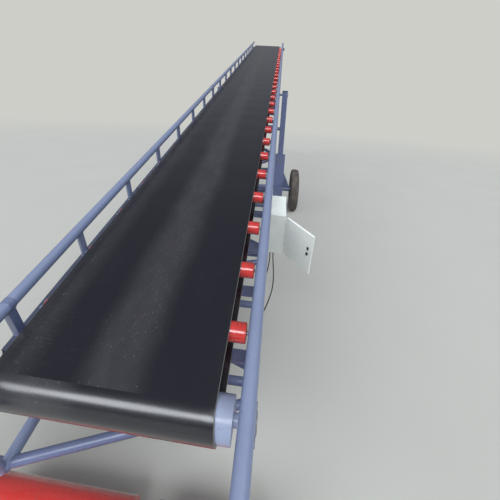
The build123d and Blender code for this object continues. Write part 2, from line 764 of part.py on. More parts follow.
brace_foot_height = axle_height + axle_beam_size / 2 + tie_brace_rise
with BuildPart() as carriage_braces:
    with BuildSketch(ground_plane(-beam_half)):
        with Locations((wheel_forward, tie_height)):
            Circle(tie_diameter / 2)
    extrude(amount=2 * beam_half)
    for side in sides.values():
        start = ground_point(side * (beam_half - tie_brace_inset), wheel_forward, brace_foot_height)
        end = ground_point(0, wheel_forward, tie_height)
        with BuildSketch(bar_plane(start, end)):
            Circle(brace_diameter / 2)
        extrude(amount=(end - start).length)
    with BuildSketch(ground_plane(-beam_half)):
        with Locations((wheel_forward, tie_height)):
            Circle(tie_diameter / 2 - tube_wall)
    extrude(amount=2 * beam_half, mode=Mode.SUBTRACT)
carriage_braces.part.label = "carriage_braces"
export_step(carriage_braces.part, "parts/carriage_braces.step")

# Mast columns with the boss for the boom's pin, the shoe and the cap
for side_name, side in sides.items():
    across = side * housing_half_gauge
    with BuildPart() as mast_column:
        with BuildSketch(Plane.XY.offset(column_bottom)):
            with Locations((across, wheel_forward - origin_forward)):
                Rectangle(column_size, column_size)
                inner_size = column_size - 2 * column_wall
                Rectangle(inner_size, inner_size, mode=Mode.SUBTRACT)
        extrude(amount=column_top - column_bottom)
        with BuildSketch(Plane.XY.offset(column_bottom)):
            with Locations((across, wheel_forward - origin_forward)):
                shoe_x = housing_width - 2 * housing_wall - 2 * column_gap
                shoe_y = housing_depth - 2 * housing_wall - 2 * column_gap
                Rectangle(shoe_x, shoe_y)
                Rectangle(column_size - 2 * column_wall, column_size - 2 * column_wall, mode=Mode.SUBTRACT)
        extrude(amount=shoe_height)
        with BuildSketch(ground_plane(across - column_size / 2)):
            with Locations((wheel_forward, mast_pin_height)):
                Circle(boss_diameter / 2)
        extrude(amount=column_size)
        with BuildSketch(ground_plane(across - column_size / 2)):
            with Locations((wheel_forward, mast_pin_height)):
                Circle(mast_pin_diameter / 2 + running_gap)
        extrude(amount=column_size, mode=Mode.SUBTRACT)
    mast_column.part.label = f"mast_column_{side_name}"
    export_step(mast_column.part, f"parts/mast_column_{side_name}.step")

with BuildPart() as mast_caps:
    with BuildSketch(Plane.XY.offset(column_top + seat)):
        with Locations(
            (-housing_half_gauge, wheel_forward - origin_forward),
            (housing_half_gauge, wheel_forward - origin_forward),
        ):
            RectangleRounded(column_size + 2 * cap_overhang, column_size + 2 * cap_overhang, cap_corner)
    extrude(amount=cap_height)
mast_caps.part.label = "mast_caps"
export_step(mast_caps.part, "parts/mast_caps.step")

tie_half = housing_half_gauge - column_size / 2 - seat
with BuildPart() as mast_tie:
    with BuildSketch(ground_plane(-tie_half)):
        with Locations((wheel_forward, mast_tie_height)):
            Circle(tie_diameter / 2)
            Circle(tie_diameter / 2 - tube_wall, mode=Mode.SUBTRACT)
    extrude(amount=2 * tie_half)
mast_tie.part.label = "mast_tie"
export_step(mast_tie.part, "parts/mast_tie.step")

# Struts from the axle beam up to the boom's lower chords
for side_name, side in sides.items():
    across = side * frame_half_gauge
    foot = ground_point(across, strut_foot_forward, axle_height)
    head = ground_point(across, strut_head_forward, strut_head_height)
    eye_face = across - strut_eye_width / 2
    strut_length = (head - foot).length
    with BuildPart() as strut:
        with BuildSketch(bar_plane(foot, head).offset(strut_eye_diameter)):
            Circle(strut_diameter / 2)
            Circle(strut_diameter / 2 - tube_wall, mode=Mode.SUBTRACT)
        extrude(amount=strut_length - 2 * strut_eye_diameter)
        eye_direction = (head - foot).normalized()
        for eye_start, sense in ((foot, 1), (head, -1)):
            with BuildSketch(Plane(origin=eye_start, x_dir=right, z_dir=eye_direction * sense)):
                Rectangle(strut_eye_width, strut_diameter)
            extrude(amount=strut_eye_diameter)
            tang_plane = Plane(origin=eye_start, x_dir=right, z_dir=eye_direction * sense)
            with BuildSketch(tang_plane.offset(strut_eye_diameter)):
                Rectangle(strut_eye_width, strut_diameter - 2 * tube_wall)
            extrude(amount=strut_diameter)
        for forward, height in (
            (strut_foot_forward, axle_height), (strut_head_forward, strut_head_height)
        ):
            with BuildSketch(ground_plane(eye_face)):
                with Locations((forward, height)):
                    Circle(strut_eye_diameter / 2)
            extrude(amount=strut_eye_width)
        with BuildSketch(ground_plane(eye_face)):
            with Locations((strut_foot_forward, axle_height)):
                Circle(strut_pin_diameter / 2 + running_gap)
            with Locations((strut_head_forward, strut_head_height)):
                Circle(strut_pin_diameter / 2 + strut_eye_play)
        extrude(amount=strut_eye_width, mode=Mode.SUBTRACT)
    strut.part.label = f"strut_{side_name}"
    export_step(strut.part, f"parts/strut_{side_name}.step")

# Wheels: a tyre and a rim with its disc and hub, turned about the axle
tyre_radius = tyre_diameter / 2
rim_radius = rim_diameter / 2
hub_radius = axle_diameter / 2 + hub_wall
for side_name, side in sides.items():
    wheel_plane = Plane(
        origin=ground_point(side * wheel_half_track, wheel_forward, axle_height),
        x_dir=right * side,
        z_dir=(0, -side, 0),
    )
    spin = Axis(wheel_plane.origin, right)
    half = tyre_width / 2
    bead = rim_width / 2 - rim_wall - seat
    flange_radius = rim_radius + rim_flange
    with BuildPart() as tyre:
        with BuildSketch(wheel_plane):
            with BuildLine():
                Polyline(
                    (-bead, rim_radius + seat),
                    (-bead, flange_radius + bead_rise),
                    (-half, rim_radius + sidewall_foot),
                    (-half, tyre_radius - shoulder_drop),
                    (-half + shoulder_inset, tyre_radius),
                    (half - shoulder_inset, tyre_radius),
                    (half, tyre_radius - shoulder_drop),
                    (half, rim_radius + sidewall_foot),
                    (bead, flange_radius + bead_rise),
                    (bead, rim_radius + seat),
                    (bead - tyre_wall, rim_radius + seat),
                    (half - tyre_wall, rim_radius + sidewall_foot),
                    (half - tyre_wall, tyre_radius - inner_shoulder_drop),
                    (half - inner_shoulder_inset, tyre_radius - tyre_wall),
                    (-half + inner_shoulder_inset, tyre_radius - tyre_wall),
                    (-half + tyre_wall, tyre_radius - inner_shoulder_drop),
                    (-half + tyre_wall, rim_radius + sidewall_foot),
                    (-bead + tyre_wall, rim_radius + seat),
                    close=True,
                )
            make_face()
        revolve(axis=spin)
    tyre.part.label = f"tyre_{side_name}"
    export_step(tyre.part, f"parts/tyre_{side_name}.step")

    with BuildPart() as rim:
        with BuildSketch(wheel_plane):
            with BuildLine():
                Polyline(
                    (-rim_width / 2, flange_radius),
                    (-rim_width / 2 + rim_wall, flange_radius),
                    (-rim_width / 2 + rim_wall, rim_radius),
                    (rim_width / 2 - rim_wall, rim_radius),
                    (rim_width / 2 - rim_wall, flange_radius),
                    (rim_width / 2, flange_radius),
                    (rim_width / 2, rim_radius - rim_wall),
                    (disc_thickness, rim_radius - rim_wall),
                    (disc_thickness, hub_radius),
                    (hub_reach, hub_radius),
                    (hub_reach, axle_diameter / 2 + running_gap),
                    (-rim_width / 2, axle_diameter / 2 + running_gap),
                    (-rim_width / 2, hub_radius),
                    (0, hub_radius),
                    (0, rim_radius - rim_wall),
                    (-rim_width / 2, rim_radius - rim_wall),
                    close=True,
                )
            make_face()
        revolve(axis=spin)
    rim.part.label = f"rim_{side_name}"
    export_step(rim.part, f"parts/rim_{side_name}.step")

# Control cabinet on the right side frame, its door and the lead
cabinet_outer = cabinet_inner + cabinet_depth
cabinet_middle = cabinet_start + cabinet_length / 2
cabinet_centre_level = cabinet_top - cabinet_height / 2
hinge_across = cabinet_outer + door_gap + door_thickness / 2
hinge_along = cabinet_start - hinge_back
door_top = cabinet_top - door_drop
bracket_rise = stringer_bottom - cabinet_top + cabinet_bracket_overlap
with BuildPart() as cabinet_box:
    with BuildSketch(side_plane(cabinet_inner)):
        with Locations((cabinet_middle, cabinet_centre_level)):
            RectangleRounded(cabinet_length, cabinet_height, cabinet_corner)
    extrude(amount=cabinet_depth)
    with BuildSketch(side_plane(cabinet_inner + cabinet_wall)):
        with Locations((cabinet_middle, cabinet_centre_level)):
            Rectangle(cabinet_length - 2 * cabinet_wall, cabinet_height - 2 * cabinet_wall)
    extrude(amount=cabinet_depth - 2 * cabinet_wall, mode=Mode.SUBTRACT)
    with BuildSketch(side_plane(cabinet_outer - cabinet_wall)):
        with Locations((cabinet_middle, cabinet_top - door_drop - door_height / 2)):
            Rectangle(cabinet_length - 2 * door_margin, door_height - 2 * door_margin)
    extrude(amount=cabinet_wall, mode=Mode.SUBTRACT)
    # Brackets to the side frame
    with BuildSketch(side_plane(stringer_outer + seat)):
        for inset in (cabinet_bracket_inset, cabinet_length - cabinet_bracket_inset):
            with Locations((cabinet_start + inset, cabinet_top)):
                Rectangle(cabinet_bracket_width, 2 * bracket_rise)
    extrude(amount=cabinet_inner - stringer_outer - seat)
    # Hinge leaves and rod
    for level in (door_top - hinge_inset, door_top - door_height + hinge_inset):
        with BuildSketch(deck_plane(level - hinge_height / 2)):
            with Locations((hinge_across, hinge_along)):
                Circle(knuckle / 2)
            with Locations((hinge_across - leaf_reach / 2, hinge_along)):
                Rectangle(leaf_reach, leaf_thickness)
            with Locations((hinge_across - leaf_reach + leaf_thickness / 6, cabinet_start - hinge_back / 2)):
                Rectangle(leaf_thickness, leaf_foot)
        extrude(amount=hinge_height)
    rod_inset = hinge_inset - hinge_height / 2
    with BuildSketch(deck_plane(door_top - door_height + rod_inset)):
        with Locations((hinge_across, hinge_along)):
            Circle(hinge_rod / 2)
    extrude(amount=door_height - 2 * rod_inset)
cabinet_box.part.label = "cabinet_box"
export_step(cabinet_box.part, "parts/cabinet_box.step")

# The door hangs open by door_open, turned about the hinge rod
hinge_plane = Plane(
    origin=on_boom(hinge_across, hinge_along, door_top - door_height),
    x_dir=right * cos(radians(door_open)) - uphill * sin(radians(door_open)),
    z_dir=normal,
)
with BuildPart() as cabinet_door:
    with BuildSketch(hinge_plane):
        with Locations((0, (hinge_back + cabinet_length + door_free_gap) / 2)):
            Rectangle(door_thickness, cabinet_length + hinge_back - door_free_gap)
    extrude(amount=door_height)
    for level in (hinge_inset, door_height - hinge_inset):
        with BuildSketch(hinge_plane.offset(level - hinge_notch / 2)):
            Rectangle(*hinge_notch_reach)
        extrude(amount=hinge_notch, mode=Mode.SUBTRACT)
    with BuildSketch(hinge_plane.offset(barrel_inset)):
        Circle(knuckle / 2)
        with Locations((0, barrel_web[1] / 2)):
            Rectangle(*barrel_web)
    extrude(amount=door_height - 2 * barrel_inset)
    with BuildSketch(hinge_plane):
        Circle(hinge_rod / 2 + running_gap)
    extrude(amount=door_height, mode=Mode.SUBTRACT)
cabinet_door.part.label = "cabinet_door"
export_step(cabinet_door.part, "parts/cabinet_door.step")

# Cable glands: two in the cabinet's bottom, one in the underside of the chord and one at a slant
lead_places = [cabinet_inner + reach for reach in gland_reach]
gland_along = cabinet_start + gland_inset
cabinet_bottom = cabinet_top - cabinet_height
slant = (right * slant_shares[0] + uphill * slant_shares[1] + normal * slant_shares[2]).normalized()
slant_start = on_boom(frame_half_gauge, slant_gland_along, chord_level)
slant_end = slant_start + slant * slant_gland_length
with BuildPart() as cable_glands:
    with BuildSketch(deck_plane(cabinet_bottom - seat)):
        with Locations(*[(across, gland_along) for across in lead_places]):
            Circle(gland_diameter / 2)
    extrude(amount=-gland_length)
    with BuildSketch(deck_plane(chord_level)):
        with Locations((frame_half_gauge, loop_gland_along)):
            Circle(gland_diameter / 2)
    extrude(amount=-chord_radius - gland_length)
    with BuildSketch(bar_plane(slant_start, slant_end)):
        Circle(gland_diameter / 2)
    extrude(amount=slant_gland_length)
    with BuildSketch(section_plane(chord_start)):
        with Locations((frame_half_gauge, chord_level)):
            Circle(chord_radius + seat)
    extrude(amount=chord_start - chord_end, mode=Mode.SUBTRACT)
cable_glands.part.label = "cable_glands"
export_step(cable_glands.part, "parts/cable_glands.step")

# Leads, limp rubber cables that hang from the cabinet and go into the chord
loop_start = on_boom(lead_places[0], gland_along, cabinet_bottom - seat - gland_length)
loop_end = on_boom(frame_half_gauge, loop_gland_along, chord_level - chord_radius - gland_length)
lead_start = on_boom(lead_places[1], gland_along, cabinet_bottom - seat - gland_length)
supply_route = [
    # across, forward from the tail end of the belt's top, height
    (518, 1335, 625), (515, 1333, 582), (509, 1315, 547), (501, 1283, 532),
    (494, 1250, 542), (488, 1230, 572), (482, 1225, 608),
]
control_route = [
    (545, 1336, 624), (551, 1320, 580), (556, 1289, 543), (559, 1244, 514), (556, 1188, 497),
    (549, 1126, 490), (539, 1065, 492), (529, 1004, 499), (519, 944, 510),
]
leads = {
    "supply_lead": (loop_start, -normal, supply_route, loop_end, -normal),
    "control_lead": (lead_start, -normal, control_route, slant_end, slant),
}
for lead_name, (start, start_way, route, end, end_way) in leads.items():
    points = [start, start + start_way * lead_straight]
    points += [ground_point(*place) for place in route]
    points += [end + end_way * lead_straight, end]
    runs = [(b - a).length for a, b in zip(points, points[1:])]
    turns = [(b - a).get_angle(c - b) for a, b, c in zip(points, points[1:], points[2:])]
    radii = [
        lead_bend_share * min(before, after) / tan(radians(turn / 2))
        for before, after, turn in zip(runs, runs[1:], turns)
    ]
    with BuildPart() as lead:
        with BuildLine() as lead_path:
            FilletPolyline(*points, radius=radii)
        with BuildSketch(bar_plane(points[0], points[1])):
            Circle(lead_diameter / 2)
        sweep(path=lead_path.wire())
    lead.part.label = lead_name
    export_step(lead.part, f"parts/{lead_name}.step")
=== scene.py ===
"""Finish of a mobile belt conveyor: paint, rubber, enamel and small parts laid over its packed construction.

Metres, in the frame of the construction: +X is the right side seen from the low end, +Y is uphill on the
floor, +Z is up. Each sub-assembly is a class with its own sizes, and each finish is a class with its own
node tree. New surfaces are functions of two parameters, worked out as whole arrays.
"""

import json
import logging
from dataclasses import dataclass, field
from enum import Enum
from math import atan, cos, pi, radians, sin, sqrt
from typing import Any, Callable, Iterable, Sequence

import bpy
import numpy as np
from mathutils import Matrix, Vector


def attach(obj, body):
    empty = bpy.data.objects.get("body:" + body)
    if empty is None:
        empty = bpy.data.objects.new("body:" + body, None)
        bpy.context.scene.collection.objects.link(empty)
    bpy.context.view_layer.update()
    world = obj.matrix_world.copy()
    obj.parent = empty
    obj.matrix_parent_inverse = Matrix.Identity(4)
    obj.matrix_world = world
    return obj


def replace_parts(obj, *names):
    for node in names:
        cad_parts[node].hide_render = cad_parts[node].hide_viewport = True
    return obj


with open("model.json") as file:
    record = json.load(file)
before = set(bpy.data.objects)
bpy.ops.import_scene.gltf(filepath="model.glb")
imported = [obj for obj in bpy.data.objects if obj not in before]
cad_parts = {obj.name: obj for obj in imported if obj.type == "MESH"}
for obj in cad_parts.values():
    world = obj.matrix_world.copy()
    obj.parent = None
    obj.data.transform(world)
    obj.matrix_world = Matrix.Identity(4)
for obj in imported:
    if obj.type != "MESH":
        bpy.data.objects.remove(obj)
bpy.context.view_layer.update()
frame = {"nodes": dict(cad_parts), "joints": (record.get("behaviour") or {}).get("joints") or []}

log = logging.getLogger("conveyor")
Array = np.ndarray
SMOOTH_ANGLE = 38.0
EDGE_STEPS = 4
MM = 0.001
SEAT = 0.0003
BEAD_STEPS = 6
BEAD_RIPPLE = 0.18


def linear(red: float, green: float, blue: float) -> tuple[float, float, float, float]:
    """Scene colour of a colour that is given as it shows on a screen, 0 to 255 each.

    Args:
        red: share of red.
        green: share of green.
        blue: share of blue.

    Returns:
        Red, green and blue in linear light, and an alpha of one.
    """
    shares = np.array([red, green, blue]) / 255
    low, high = shares / 12.92, ((shares + 0.055) / 1.055) ** 2.4
    return (*np.where(shares <= 0.04045, low, high).tolist(), 1.0)


def shaded(colour: tuple, factor: float, lift: float = 0.0) -> tuple[float, float, float, float]:
    """A scene colour made darker or lighter by a factor and a lift, and white at most."""
    return (*(min(1.0, share * factor + lift) for share in colour[:3]), 1.0)


def full_turn(count: int) -> Array:
    """Angles that divide a full circle evenly, in radians."""
    return np.arange(count) * 2 * pi / count


def ramp(values: Array, start: float, run: float) -> Array:
    """Nought before the start, one past the run, and a straight line between; a negative run goes back."""
    return np.clip((values - start) / run, 0, 1)


def placed(name: str, data: Any) -> bpy.types.Object:
    """A new object of the scene that holds the data.

    Args:
        name: its name.
        data: its mesh, curve, camera or lamp.

    Returns:
        The object.
    """
    obj = bpy.data.objects.new(name, data)
    bpy.context.scene.collection.objects.link(obj)
    return obj


class Side(Enum):
    """Left or right of the machine, seen from the low end."""

    LEFT = -1
    RIGHT = 1

    @property
    def word(self) -> str:
        """Name of the side as the nodes spell it."""
        return self.name.lower()

    @property
    def ways(self) -> tuple[Array, Array, Array]:
        """Directions of a piece that stands out of this side: uphill on the floor, up or down, outwards."""
        return Y_AXIS, Z_AXIS * self.value, X_AXIS * self.value


# Shapes


@dataclass(frozen=True)
class Boom:
    """The sloping frame of the boom: across to the right, along uphill, above the belt's top.

    It also holds the sizes of the construction that several sub-assemblies share.
    """

    incline: float = 19.25
    belt_height: float = 0.845
    gauge: float = 0.4765
    tube_radius: float = 0.025
    rail_level: float = 0.100
    chord_level: float = -0.520
    tail_along: float = -0.028
    head_along: float = 9.55
    first_roller: float = 0.238
    roller_pitch: float = 0.31
    roller_count: int = 30
    cabinet_inner: float = 0.504
    ground_roller_forward: float = 0.046
    mast_forward: float = 4.450

    @property
    def slope(self) -> float:
        """Incline in radians."""
        return radians(self.incline)

    @property
    def tail_y(self) -> float:
        """Y of the tail end of the belt's top, from the joint of a ground roller."""
        joint = next(j for j in frame["joints"] if j["name"] == "ground_roller_left_spin")
        return joint["pos_m"][1] - self.ground_roller_forward

    @property
    def uphill(self) -> Array:
        """Unit vector along the boom."""
        return np.array([0.0, cos(self.slope), sin(self.slope)])

    @property
    def normal(self) -> Array:
        """Unit vector above the belt."""
        return np.array([0.0, -sin(self.slope), cos(self.slope)])

    @property
    def ways(self) -> tuple[Array, Array, Array]:
        """Directions across, along and above."""
        return X_AXIS, self.uphill, self.normal

    def at(self, across: Any, along: Any, above: Any) -> Array:
        """Points of the boom.

        Args:
            across: metres to the right, a number or an array.
            along: metres uphill, a number or an array.
            above: metres above the belt's top, a number or an array.

        Returns:
            Points with the arguments' common shape and a last axis of three.
        """
        across, along, above = np.broadcast_arrays(
            np.asarray(across, float), np.asarray(along, float), np.asarray(above, float)
        )
        slope_cos, slope_sin = cos(self.slope), sin(self.slope)
        forward = along * slope_cos - above * slope_sin + self.tail_y
        height = along * slope_sin + above * slope_cos + self.belt_height
        return np.stack([across, forward, height], axis=-1)

    def floor_point(self, across: float, forward: float, height: float) -> Array:
        """Point given from the floor: forward counts from the tail end of the belt's top."""
        return np.array([across, forward + self.tail_y, height])


BOOM = Boom()
X_AXIS = np.array([1.0, 0.0, 0.0])
Y_AXIS = np.array([0.0, 1.0, 0.0])
Z_AXIS = np.array([0.0, 0.0, 1.0])


def unit(vector: Array) -> Array:
    """Vectors scaled to length one along the last axis."""
    return vector / np.linalg.norm(vector, axis=-1, keepdims=True)


@dataclass
class Shell:
    """Points with four- and three-cornered faces, and the places of the face corners on the surface."""

    points: Array
    quads: Array = field(default_factory=lambda: np.zeros((0, 4), int))
    tris: Array = field(default_factory=lambda: np.zeros((0, 3), int))
    quad_uv: Array | None = None

    @staticmethod
    def grid(points: Array, close_u: bool = False, close_v: bool = False, uv: Array | None = None) -> "Shell":
        """A surface from a grid of points.

        Args:
            points: array of rows, columns and three coordinates.
            close_u: whether the last row joins the first.
            close_v: whether the last column joins the first.
            uv: places of the corners, one row and column more than the points where that way is closed.

        Returns:
            The shell, with faces ordered row, next row, next column.
        """
        rows, columns = points.shape[:2]
        strips, cells = (rows if close_u else rows - 1), (columns if close_v else columns - 1)
        i, j = np.meshgrid(np.arange(strips), np.arange(cells), indexing="ij")
        i2, j2 = i + 1, j + 1
        corners = [(i, j), (i2, j), (i2, j2), (i, j2)]
        quads = np.stack([(a % rows) * columns + (b % columns) for a, b in corners], axis=-1).reshape(-1, 4)
        quad_uv = None
        if uv is not None:
            quad_uv = np.stack([uv[a, b] for a, b in corners], axis=-2).reshape(-1, 4, 2)
        return Shell(points.reshape(-1, 3), quads, quad_uv=quad_uv)

    @staticmethod
    def rings(rings: Array) -> "Shell":
        """A closed solid skinned over rings of points, with a flat fan at each end.

        Args:
            rings: array of rings, points round a ring, and three coordinates.

        Returns:
            The closed shell.
        """
        skin = Shell.grid(rings, close_v=True)
        count, around = rings.shape[:2]
        first = np.arange(around)
        last = (count - 1) * around + first
        middles = np.stack([rings[0].mean(axis=0), rings[-1].mean(axis=0)])
        start, end = count * around, count * around + 1
        fan_start = np.stack([np.full(around, start), first, np.roll(first, -1)], axis=-1)
        fan_end = np.stack([np.full(around, end), np.roll(last, -1), last], axis=-1)
        return Shell(np.concatenate([skin.points, middles]), skin.quads, np.concatenate([fan_start, fan_end]))

    def moved(self, origin: Array, x_way: Array, y_way: Array, z_way: Array) -> "Shell":
        """The shell carried into a frame that is given by its origin and three directions."""
        points = origin + self.points @ np.stack([x_way, y_way, z_way])
        return Shell(points, self.quads, self.tris, self.quad_uv)

    def on_boom(self, across: float, along: float, above: float) -> "Shell":
        """The shell with its origin at a point of the boom and its axes across, along and above."""
        return self.moved(BOOM.at(across, along, above), *BOOM.ways)

    def flipped(self) -> "Shell":
        """The shell with its faces turned round."""
        quad_uv = None if self.quad_uv is None else self.quad_uv[:, ::-1]
        return Shell(self.points, self.quads[:, ::-1], self.tris[:, ::-1], quad_uv)

    def repeated(self, shifts: Array) -> "Shell":
        """Copies of the shell, one for each shift.

        Args:
            shifts: array of vectors.

        Returns:
            One shell that holds all the copies.
        """
        shifts = np.asarray(shifts, float).reshape(-1, 3)
        count, size = len(shifts), len(self.points)
        points = (self.points[None] + shifts[:, None]).reshape(-1, 3)
        step = (np.arange(count) * size)[:, None, None]
        quads = (self.quads[None] + step).reshape(-1, 4)
        tris = (self.tris[None] + step).reshape(-1, 3)
        quad_uv = None if self.quad_uv is None else np.tile(self.quad_uv, (count, 1, 1))
        return Shell(points, quads, tris, quad_uv)

    @staticmethod
    def joined(shells: Iterable["Shell"]) -> "Shell":
        """One shell that holds several, which don't share points.

        Args:
            shells: the shells, in order.

        Returns:
            The one shell.
        """
        shells = list(shells)
        sizes = np.cumsum([0] + [len(s.points) for s in shells[:-1]])
        return Shell(
            np.concatenate([s.points for s in shells]),
            np.concatenate([s.quads + n for s, n in zip(shells, sizes)]),
            np.concatenate([s.tris + n for s, n in zip(shells, sizes)]),
        )

    def piece(self, name: str, finish: "Finish", body: str, angle: float = SMOOTH_ANGLE) -> bpy.types.Object:
        """Makes the shell an object that rides on a body.

        Args:
            name: the piece's name.
            finish: its finish.
            body: the body that it rides on.
            angle: edges sharper than this, in degrees, stay sharp.

        Returns:
            The object, with its place in its mesh.
        """
        mesh = bpy.data.meshes.new(name)
        faces = self.quads.tolist() + self.tris.tolist()
        mesh.from_pydata(self.points.tolist(), [], faces)
        if self.quad_uv is not None:
            layer = mesh.uv_layers.new(name="surface")
            layer.data.foreach_set("uv", self.quad_uv.astype(np.float32).ravel())
        mesh.shade_smooth()
        mesh.set_sharp_from_angle(angle=radians(angle))
        mesh.validate()
        mesh.materials.append(finish.material())
        obj = placed(name, mesh)
        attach(obj, body)
        log.info("%s: %d faces on %s", name, len(mesh.polygons), body)
        return obj


def turned_rings(profile: Sequence[tuple[float, float]], around: int) -> Array:
    """Rings of points about the z axis.

    Each point of the profile, at a height and a radius, runs round a full circle, so the surface is
    (radius cos t, radius sin t, height).

    Args:
        profile: heights and radii, from one end to the other.
        around: number of points round the circle.

    Returns:
        Array of rings, points round a ring, and three coordinates.
    """
    heights, radii = np.array(profile, float).T[:, :, None]
    turn = full_turn(around)
    return np.stack(np.broadcast_arrays(radii * np.cos(turn), radii * np.sin(turn), heights), axis=-1)


def lathe(profile: Sequence[tuple[float, float]], around: int) -> Shell:
    """A turned solid about the z axis, closed by flat fans at its ends."""
    return Shell.rings(turned_rings(profile, around))


def ring_lathe(profile: Sequence[tuple[float, float]], around: int) -> Shell:
    """A turned ring about the z axis, whose profile is a closed line."""
    return Shell.grid(turned_rings(profile, around), close_u=True, close_v=True)


def bar_rings(outline: Callable[[float], Array], steps: Sequence[tuple[float, float]]) -> Shell:
    """A solid along the z axis whose section is an outline drawn in by an inset.

    Args:
        outline: gives the section's points, n by two, for an inset.
        steps: heights and insets, from one end to the other.

    Returns:
        The closed shell.
    """
    sections = [(outline(inset), height) for height, inset in steps]
    rings = [np.column_stack([line, np.full(len(line), height)]) for line, height in sections]
    return Shell.rings(np.stack(rings))


def rounded_block(width: float, depth: float, height: float, radius: float) -> Shell:
    """A block with rounded edges, its middle at the origin.

    The section is a rounded rectangle: corner centres plus radius (cos t, sin t). Towards both ends it
    draws in along a quarter circle of the same steps.

    Args:
        width: size along x.
        depth: size along y.
        height: size along z.
        radius: radius of all edges.

    Returns:
        The closed shell.
    """
    lift = np.linspace(0, pi / 2, EDGE_STEPS + 1)

    def outline(inset: float) -> Array:
        """Points of the rounded rectangle, drawn in by the inset.

        Args:
            inset: how far the line lies inside the full one.

        Returns:
            The points, n by two.
        """
        corner = max(radius - inset, radius * 0.05)
        points = []
        for quarter, (sx, sy) in enumerate(((1, 1), (-1, 1), (-1, -1), (1, -1))):
            centre = np.array([sx * (width / 2 - radius), sy * (depth / 2 - radius)])
            angle = lift + quarter * pi / 2
            points.append(centre + corner * np.column_stack([np.cos(angle), np.sin(angle)]))
        return np.concatenate(points)

    low = [(-height / 2 + radius * (1 - sin(t)), radius * (1 - cos(t))) for t in lift]
    steps = low + [(-h, inset) for h, inset in reversed(low)]
    return bar_rings(outline, steps)


def hexagon_nut(across_flats: float, height: float) -> Shell:
    """A hexagon head or nut along z from zero, with its corners turned down at the outer end.

    Args:
        across_flats: width between two flats.
        height: height of the nut.

    Returns:
        The closed shell.
    """

    def outline(inset: float) -> Array:
        """Twenty-four points of the hexagon, drawn in by the inset and cut by its turned circle.

        Args:
            inset: how far the turned circle is drawn in.

        Returns:
            The points, n by two.
        """
        turn = np.arange(24) * pi / 12
        flat = across_flats / 2 / np.cos((turn + pi / 6) % (pi / 3) - pi / 6)
        reach = np.minimum(flat, across_flats / 2 * 1.13 - inset)
        return np.column_stack([reach * np.cos(turn), reach * np.sin(turn)])

    chamfer = across_flats * 0.08
    return bar_rings(outline, [(0, 0), (height - chamfer, 0), (height, chamfer)])


def bolt(across_flats: float, shank: float) -> Shell:
    """A washer, a hexagon nut and the rounded end of a bolt, standing up along z from zero.

    Args:
        across_flats: width of the nut between two flats.
        shank: diameter of the bolt.

    Returns:
        The three as one shell.
    """
    nut_height = across_flats * 0.5
    washer = lathe([(0, across_flats * 0.62), (across_flats * 0.1, across_flats * 0.62)], 20)
    nut = hexagon_nut(across_flats, nut_height)
    nut.points[:, 2] += across_flats * 0.1
    top = across_flats * 0.1 + nut_height
    end = lathe([(top * 0.9, shank / 2), (top * 1.25, shank / 2), (top * 1.35, shank * 0.38)], 14)
    return Shell.joined([washer, nut, end])


def bead(path: Array, outward: Array, radius: float) -> Shell:
    """A weld bead along a closed path.

    At each point of the path a small circle is drawn in the plane of the outward direction and the
    direction across the path. Its radius swells and shrinks along the path like overlapping drops.

    Args:
        path: points of the closed path.
        outward: outward direction at each point.
        radius: radius of the bead.

    Returns:
        The closed shell.
    """
    along = unit(np.roll(path, -1, axis=0) - np.roll(path, 1, axis=0))
    side = unit(np.cross(along, outward))
    out = np.cross(side, along)
    turn = full_turn(BEAD_STEPS)
    step = np.arange(len(path))
    size = radius * (1 + BEAD_RIPPLE * np.sin(step * 2.4) + 0.4 * BEAD_RIPPLE * np.sin(step * 0.9 + 1))
    ring = (
        path[:, None]
        + size[:, None, None] * np.cos(turn)[None, :, None] * out[:, None]
        + size[:, None, None] * np.sin(turn)[None, :, None] * side[:, None]
    )
    return Shell.grid(ring, close_u=True, close_v=True)


def round_bead(centre: Array, first: Array, second: Array, radius: float, size: float, around: int) -> Shell:
    """A weld bead round a circle.

    The path is the centre plus radius times (first cos t plus second sin t).

    Args:
        centre: middle of the circle.
        first: one direction in its plane.
        second: the direction square to it.
        radius: radius of the circle.
        size: radius of the bead.
        around: points along the bead.

    Returns:
        The closed shell.
    """
    turn = full_turn(around)
    out = np.cos(turn)[:, None] * first + np.sin(turn)[:, None] * second
    return bead(centre + out * radius, out, size)


def saddle_bead(origin: Array, axis: Array, main_axis: Array, radius: float, main_radius: float, size: float,
                around: int = 28) -> Shell:
    """A weld bead where a round bar meets a larger round tube.

    The bar's wall at angle t stands sideways from the tube's axis by radius cos t, so it meets the tube
    at a height of sqrt(main_radius squared less that square).

    Args:
        origin: where the bar's axis meets the tube's axis.
        axis: direction of the bar, away from the tube.
        main_axis: direction of the tube.
        radius: radius of the bar.
        main_radius: radius of the tube.
        size: radius of the bead.
        around: points along the bead.

    Returns:
        The closed shell.
    """
    axis, main_axis = unit(axis), unit(main_axis)
    side = unit(np.cross(axis, main_axis))
    ahead = np.cross(side, axis)
    turn = full_turn(around)
    lean = float(axis @ main_axis)
    rise = np.sqrt(np.maximum(main_radius**2 - (radius * np.cos(turn)) ** 2, 0))
    height = rise / sqrt(1 - lean**2) - radius * np.sin(turn) * lean / sqrt(1 - lean**2)
    out = np.cos(turn)[:, None] * side + np.sin(turn)[:, None] * ahead
    path = origin + radius * out + height[:, None] * axis
    return bead(path, out, size)


# Finishes


